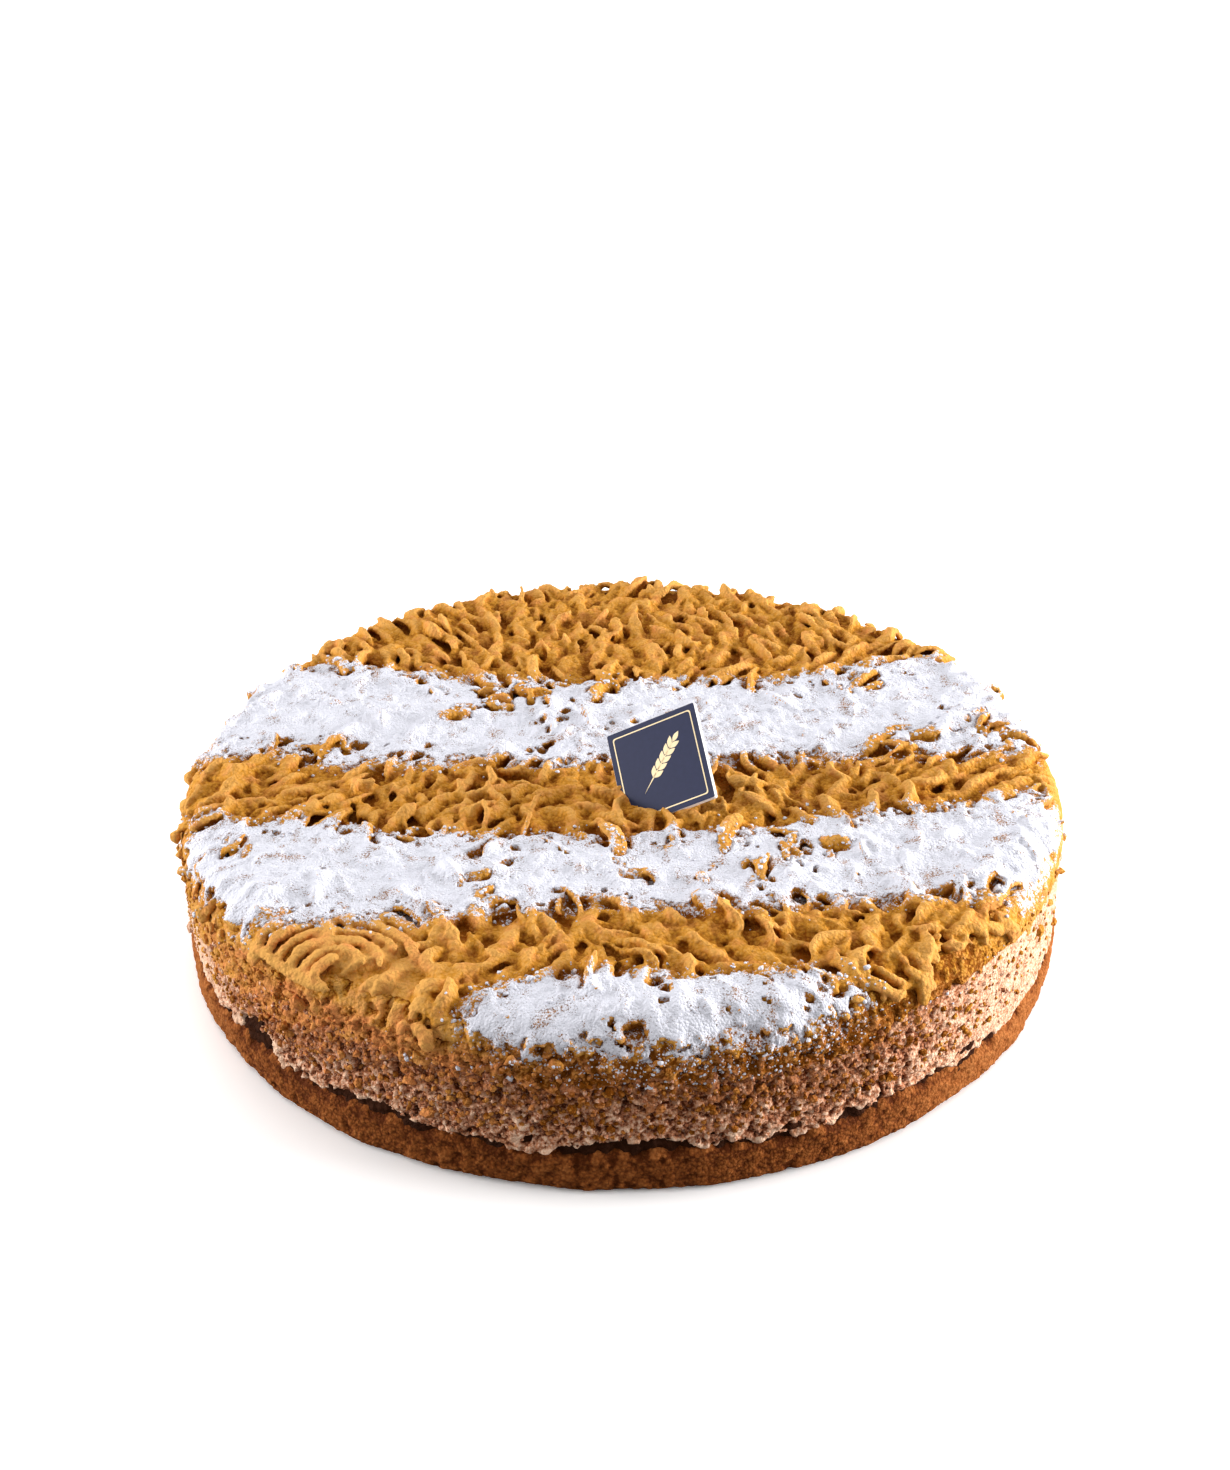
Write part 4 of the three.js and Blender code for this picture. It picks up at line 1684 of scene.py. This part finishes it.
# Pale serves the flecks and the painted light on crests and lit flanks; Deep is painted shade in crevices and
# pits
dough_shades = [(0.69, 0.345, 0.085), (0.55, 0.236, 0.024), (0.49, 0.176, 0.055), (0.22, 0.06, 0.002)]
shortcrust_shades = [(0.42, 0.145, 0.038), (0.25, 0.071, 0.014), (0.22, 0.055, 0.009), (0.09, 0.019, 0.003)]
meringue_shades = [(0.93, 0.625, 0.435), (0.57, 0.219, 0.104), (0.33, 0.112, 0.036), (0.11, 0.022, 0.005)]


def baked_material(name, colours, grain_scale, pit_shade, fleck, speckle, powdered=False):
    """A dry baked surface in four shades, with painted shade between its grains, with flecks and perhaps with
    powder.
    """
    material, tree, shader = new_material(name, 0.8, 0.06)
    grain = placed(tree, crumb_grain, {"Grains per metre": grain_scale, "Fleck share": fleck})
    shades = {socket: (*value, 1) for socket, value in zip(shade_names, colours)}
    # painted shade: the grain's pits darken the colour, added to the stored crest value
    crest = worked_out(tree, "MULTIPLY_ADD", grain["Height"], pit_shade, stored(tree, "crest"))
    drivers = {"Crest": crest, "Speckle": speckle, "Toasting": stored(tree, "toasting")}
    colour = placed(tree, browning_and_shade, {**shades, **drivers})["Color"]
    colour = blended(tree, grain["Fleck"], colour, shades["Pale"])
    if powdered:
        colour = with_powder(tree, colour)
    feed(tree, shader, {"Base Color": colour, "Normal": bumped(tree, grain["Height"], 0.9, 0.5 * mm)})
    return material


dough_grain = {"grain_scale": 900, "pit_shade": 0.4, "fleck": 0.15, "speckle": 0.4}
crumbled_grain = {"grain_scale": 1100, "pit_shade": 0.7, "fleck": 0.25, "speckle": 1.0}
shortcrust_grain = {"grain_scale": 1000, "pit_shade": 0.6, "fleck": 0.25, "speckle": 0.9}
meringue_grain = {"grain_scale": 1200, "pit_shade": 0.65, "fleck": 0.3, "speckle": 1.25}
baked_dough = baked_material("baked_dough", dough_shades, **dough_grain, powdered=True)
crumbled_dough = baked_material("crumbled_dough", dough_shades, **crumbled_grain, powdered=True)
shortcrust_baked = baked_material("shortcrust", shortcrust_shades, **shortcrust_grain)
meringue_baked = baked_material("meringue", meringue_shades, **meringue_grain)
baked = [baked_dough, crumbled_dough, shortcrust_baked, meringue_baked]
print("baked materials:", [material.name for material in baked])

# %% [markdown]
# Jam is dark and only here and there sticky. Sugar is matte and a touch blue, and its grain makes it look
# like powder instead of icing. The card is printed in a satin dark blue.

# %% Jam and sugar
jam_thick = (0.014, 0.005, 0.003, 1)
jam_soaked = (0.062, 0.018, 0.006, 1)
dough_at_edges = (0.47, 0.19, 0.028, 1)
shaded_pit_speck = (0.15, 0.085, 0.055, 1)
edge_to_inside = (0.36, 0.48)


def jam_material():
    """Cooked jam: nearly black, sticky where it is thick and dull where it soaked in."""
    material, tree, shader = new_material("jam", 0.8, 0.04)
    soaked = noise(tree, 260.0, 4.0)
    grain = placed(tree, crumb_grain, {"Grains per metre": 600})
    inputs = {
        "Base Color": blended(tree, soaked, jam_thick, jam_soaked),
        "Roughness": stepped(tree, soaked, 0.0, 1.0, 0.5, 0.95),
        "Normal": bumped(tree, grain["Height"], 1.0, 0.8 * mm),
    }
    feed(tree, shader, inputs)
    return material


def sugar_material():
    """Sifted powder: matte, a touch blue, with fine grains, with dough showing golden where it lies thin, and
    dark specks inside the bands that stand for dough in tiny pits with painted shade.
    """
    material, tree, shader = new_material("icing_sugar", 0.95, 0.1)
    inside = stepped(tree, stored(tree, "dusting"), *edge_to_inside)
    # painted shade: inside a band the specks take a dark colour for dough in shaded pits, at its edges the
    # dough's golden colour
    under = blended(tree, inside, dough_at_edges, shaded_pit_speck)
    grain = placed(tree, crumb_grain, {"Grains per metre": 1400})
    relief = bumped(tree, grain["Height"], 0.7, 0.5 * mm)
    feed(tree, shader, {"Base Color": with_powder(tree, under, 1900), "Normal": relief})
    return material


jam_cooked = jam_material()
sugar_sifted = sugar_material()
print("more materials:", jam_cooked.name, sugar_sifted.name)

# %% The plaque's materials
dark_blues = [(0.013, 0.017, 0.053), (0.019, 0.024, 0.072)]
core_whites = [(0.74, 0.73, 0.73), (0.80, 0.79, 0.79)]
golds = [(0.88, 0.70, 0.42), (0.95, 0.80, 0.52)]


def printed_material(name, dark, light, roughness, metallic):
    """A printed surface that is faintly mottled."""
    material, tree, shader = new_material(name, roughness, 0.3)
    colour = blended(tree, noise(tree, 700.0, 3.0), (*dark, 1), (*light, 1))
    feed(tree, shader, {"Metallic": metallic, "Base Color": colour})
    return material


card_face = printed_material("card_face", *dark_blues, roughness=0.5, metallic=0)
card_core = printed_material("card_core", *core_whites, roughness=0.7, metallic=0)
gold_foil = printed_material("gold_foil", *golds, roughness=0.4, metallic=0.5)
print("plaque materials:", card_face.name, card_core.name, gold_foil.name)

# %% [markdown]
# ## Giving out the materials
# The strands need to know how near each point is to the sugar, so that stray specks fade away from the bands.
# Strands inside the sugar bands are painted darker than the others: painted shade against the light that the
# white sugar throws on them.

# %% Note shade and dusting on the dough and set materials
def dusting_values(mesh):
    """How much stray powder reaches each point of the lid."""
    most = read_map(np.max(list(cover.values()), axis=0), rolled_out(points_of(mesh)))
    upward = facings_of(mesh)[:, 2]
    return speck_amount(np.minimum(most, 0.6)) * (0.5 + 0.5 * ramp(upward, 0.0, 0.6))


def strand_shades(mesh):
    """The shade of each point of the strands: its crest value, its place on the lid, and painted shade in the
    sugar bands.
    """
    points = points_of(mesh)
    in_sugar = read_map(sum(fallen.values()), rolled_out(points))
    # painted shade: strands inside the sugar bands are darkened
    return crest_values(mesh) + lid_tint(points) - 0.2 * in_sugar


for part in dough_parts:
    note_values(part.data, "crest", strand_shades(part.data))
for piece in (*dough_parts, lid_side, dough_crumbs):
    note_values(piece.data, "dusting", dusting_values(piece.data))
    note_values(piece.data, "toasting", lid_toasting(points_of(piece.data)))

finishes = [
    *[(part, baked_dough) for part in dough_parts],
    (lid_side, crumbled_dough),
    (dough_crumbs, crumbled_dough),
    (base, shortcrust_baked),
    (meringue, meringue_baked),
    (meringue_crumbs, meringue_baked),
    (jam, jam_cooked),
    (clumps, sugar_sifted),
    (rolled_sugar, sugar_sifted),
    (gold, gold_foil),
    (card, card_core),
    *[(band, sugar_sifted) for band in sugar_pieces],
]
for piece, material in finishes:
    piece.data.materials.clear()
    piece.data.materials.append(material)

card.data.materials.append(card_face)
for face in card.data.polygons:
    face.material_index = int(abs(face.normal.dot(plaque_facing)) > 0.9)
print("materials set on", len(finishes), "pieces")

# %% [markdown]
# ## Floor and light
# The cake stands on a plain pale floor in soft studio light that comes from above and behind and from both
# sides, so its front side lies in shade. A white floor would throw light back up at that side. So the floor
# is pale to the eye and darker to the light that bounces off it.

# %% Lay the floor
floor_half = 6.0
seen_tone = (1.2, 1.2, 1.2, 1)
bounced_tone = (0.3, 0.3, 0.3, 1)


def floor_material():
    """One tone for the eye and a darker one for the light that bounces."""
    material = bpy.data.materials.new("floor")
    material.use_nodes = True
    tree = material.node_tree
    tree.nodes.remove(tree.nodes["Principled BSDF"])
    seen = add_node(tree, "BsdfDiffuse", {"Color": seen_tone}).outputs[0]
    bounced = add_node(tree, "BsdfDiffuse", {"Color": bounced_tone}).outputs[0]
    to_eye = add_node(tree, "LightPath").outputs["Is Camera Ray"]
    both = add_node(tree, "MixShader", {"Fac": to_eye, 1: bounced, 2: seen})
    feed(tree, tree.nodes["Material Output"], {"Surface": both.outputs[0]})
    return material


floor_corners = np.array([(-1, -1, 0), (1, -1, 0), (1, 1, 0), (-1, 1, 0)]) * floor_half
floor = add_mesh("floor", floor_corners - np.array([0, 0, 0.1 * mm]), [(0, 1, 2, 3)])
floor.data.materials.append(floor_material())
print("floor: %.0f m wide" % (2 * floor_half))

# %% Set the lights
side_light_size = (0.9, 0.4)
sky_strength = 0.42


def aim(light, place, target):
    """Puts a light in its place and turns it to its target."""
    light.location = place
    light.rotation_euler = (Vector(target) - Vector(place)).to_track_quat("-Z", "Y").to_euler()


def side_light(name, place, power):
    """A low, wide soft light beside the cake."""
    data = bpy.data.lights.new(name, "AREA")
    data.shape = "RECTANGLE"
    data.size, data.size_y = side_light_size
    data.energy = power
    aim(add_object(name, data), place, (0, 0, meringue_top))


side_light("from_left", (-1.15, 0.0, 0.24), power=16)
side_light("from_right", (1.15, 0.0, 0.24), power=30)
sky = bpy.data.lights.new("overhead", "SUN")
sky.energy = 1.75
sky.angle = math.radians(75)
aim(add_object("overhead", sky), (0, 0.6, 1.2), (0, 0, 0))
world = bpy.data.worlds.new("studio")
world.use_nodes = True
background = world.node_tree.nodes["Background"]
feed(world.node_tree, background, {"Color": (1, 1, 1, 1), "Strength": sky_strength})
bpy.context.scene.world = world
bpy.context.scene.view_settings.view_transform = "Standard"
print("lights:", [light.name for light in bpy.data.lights])
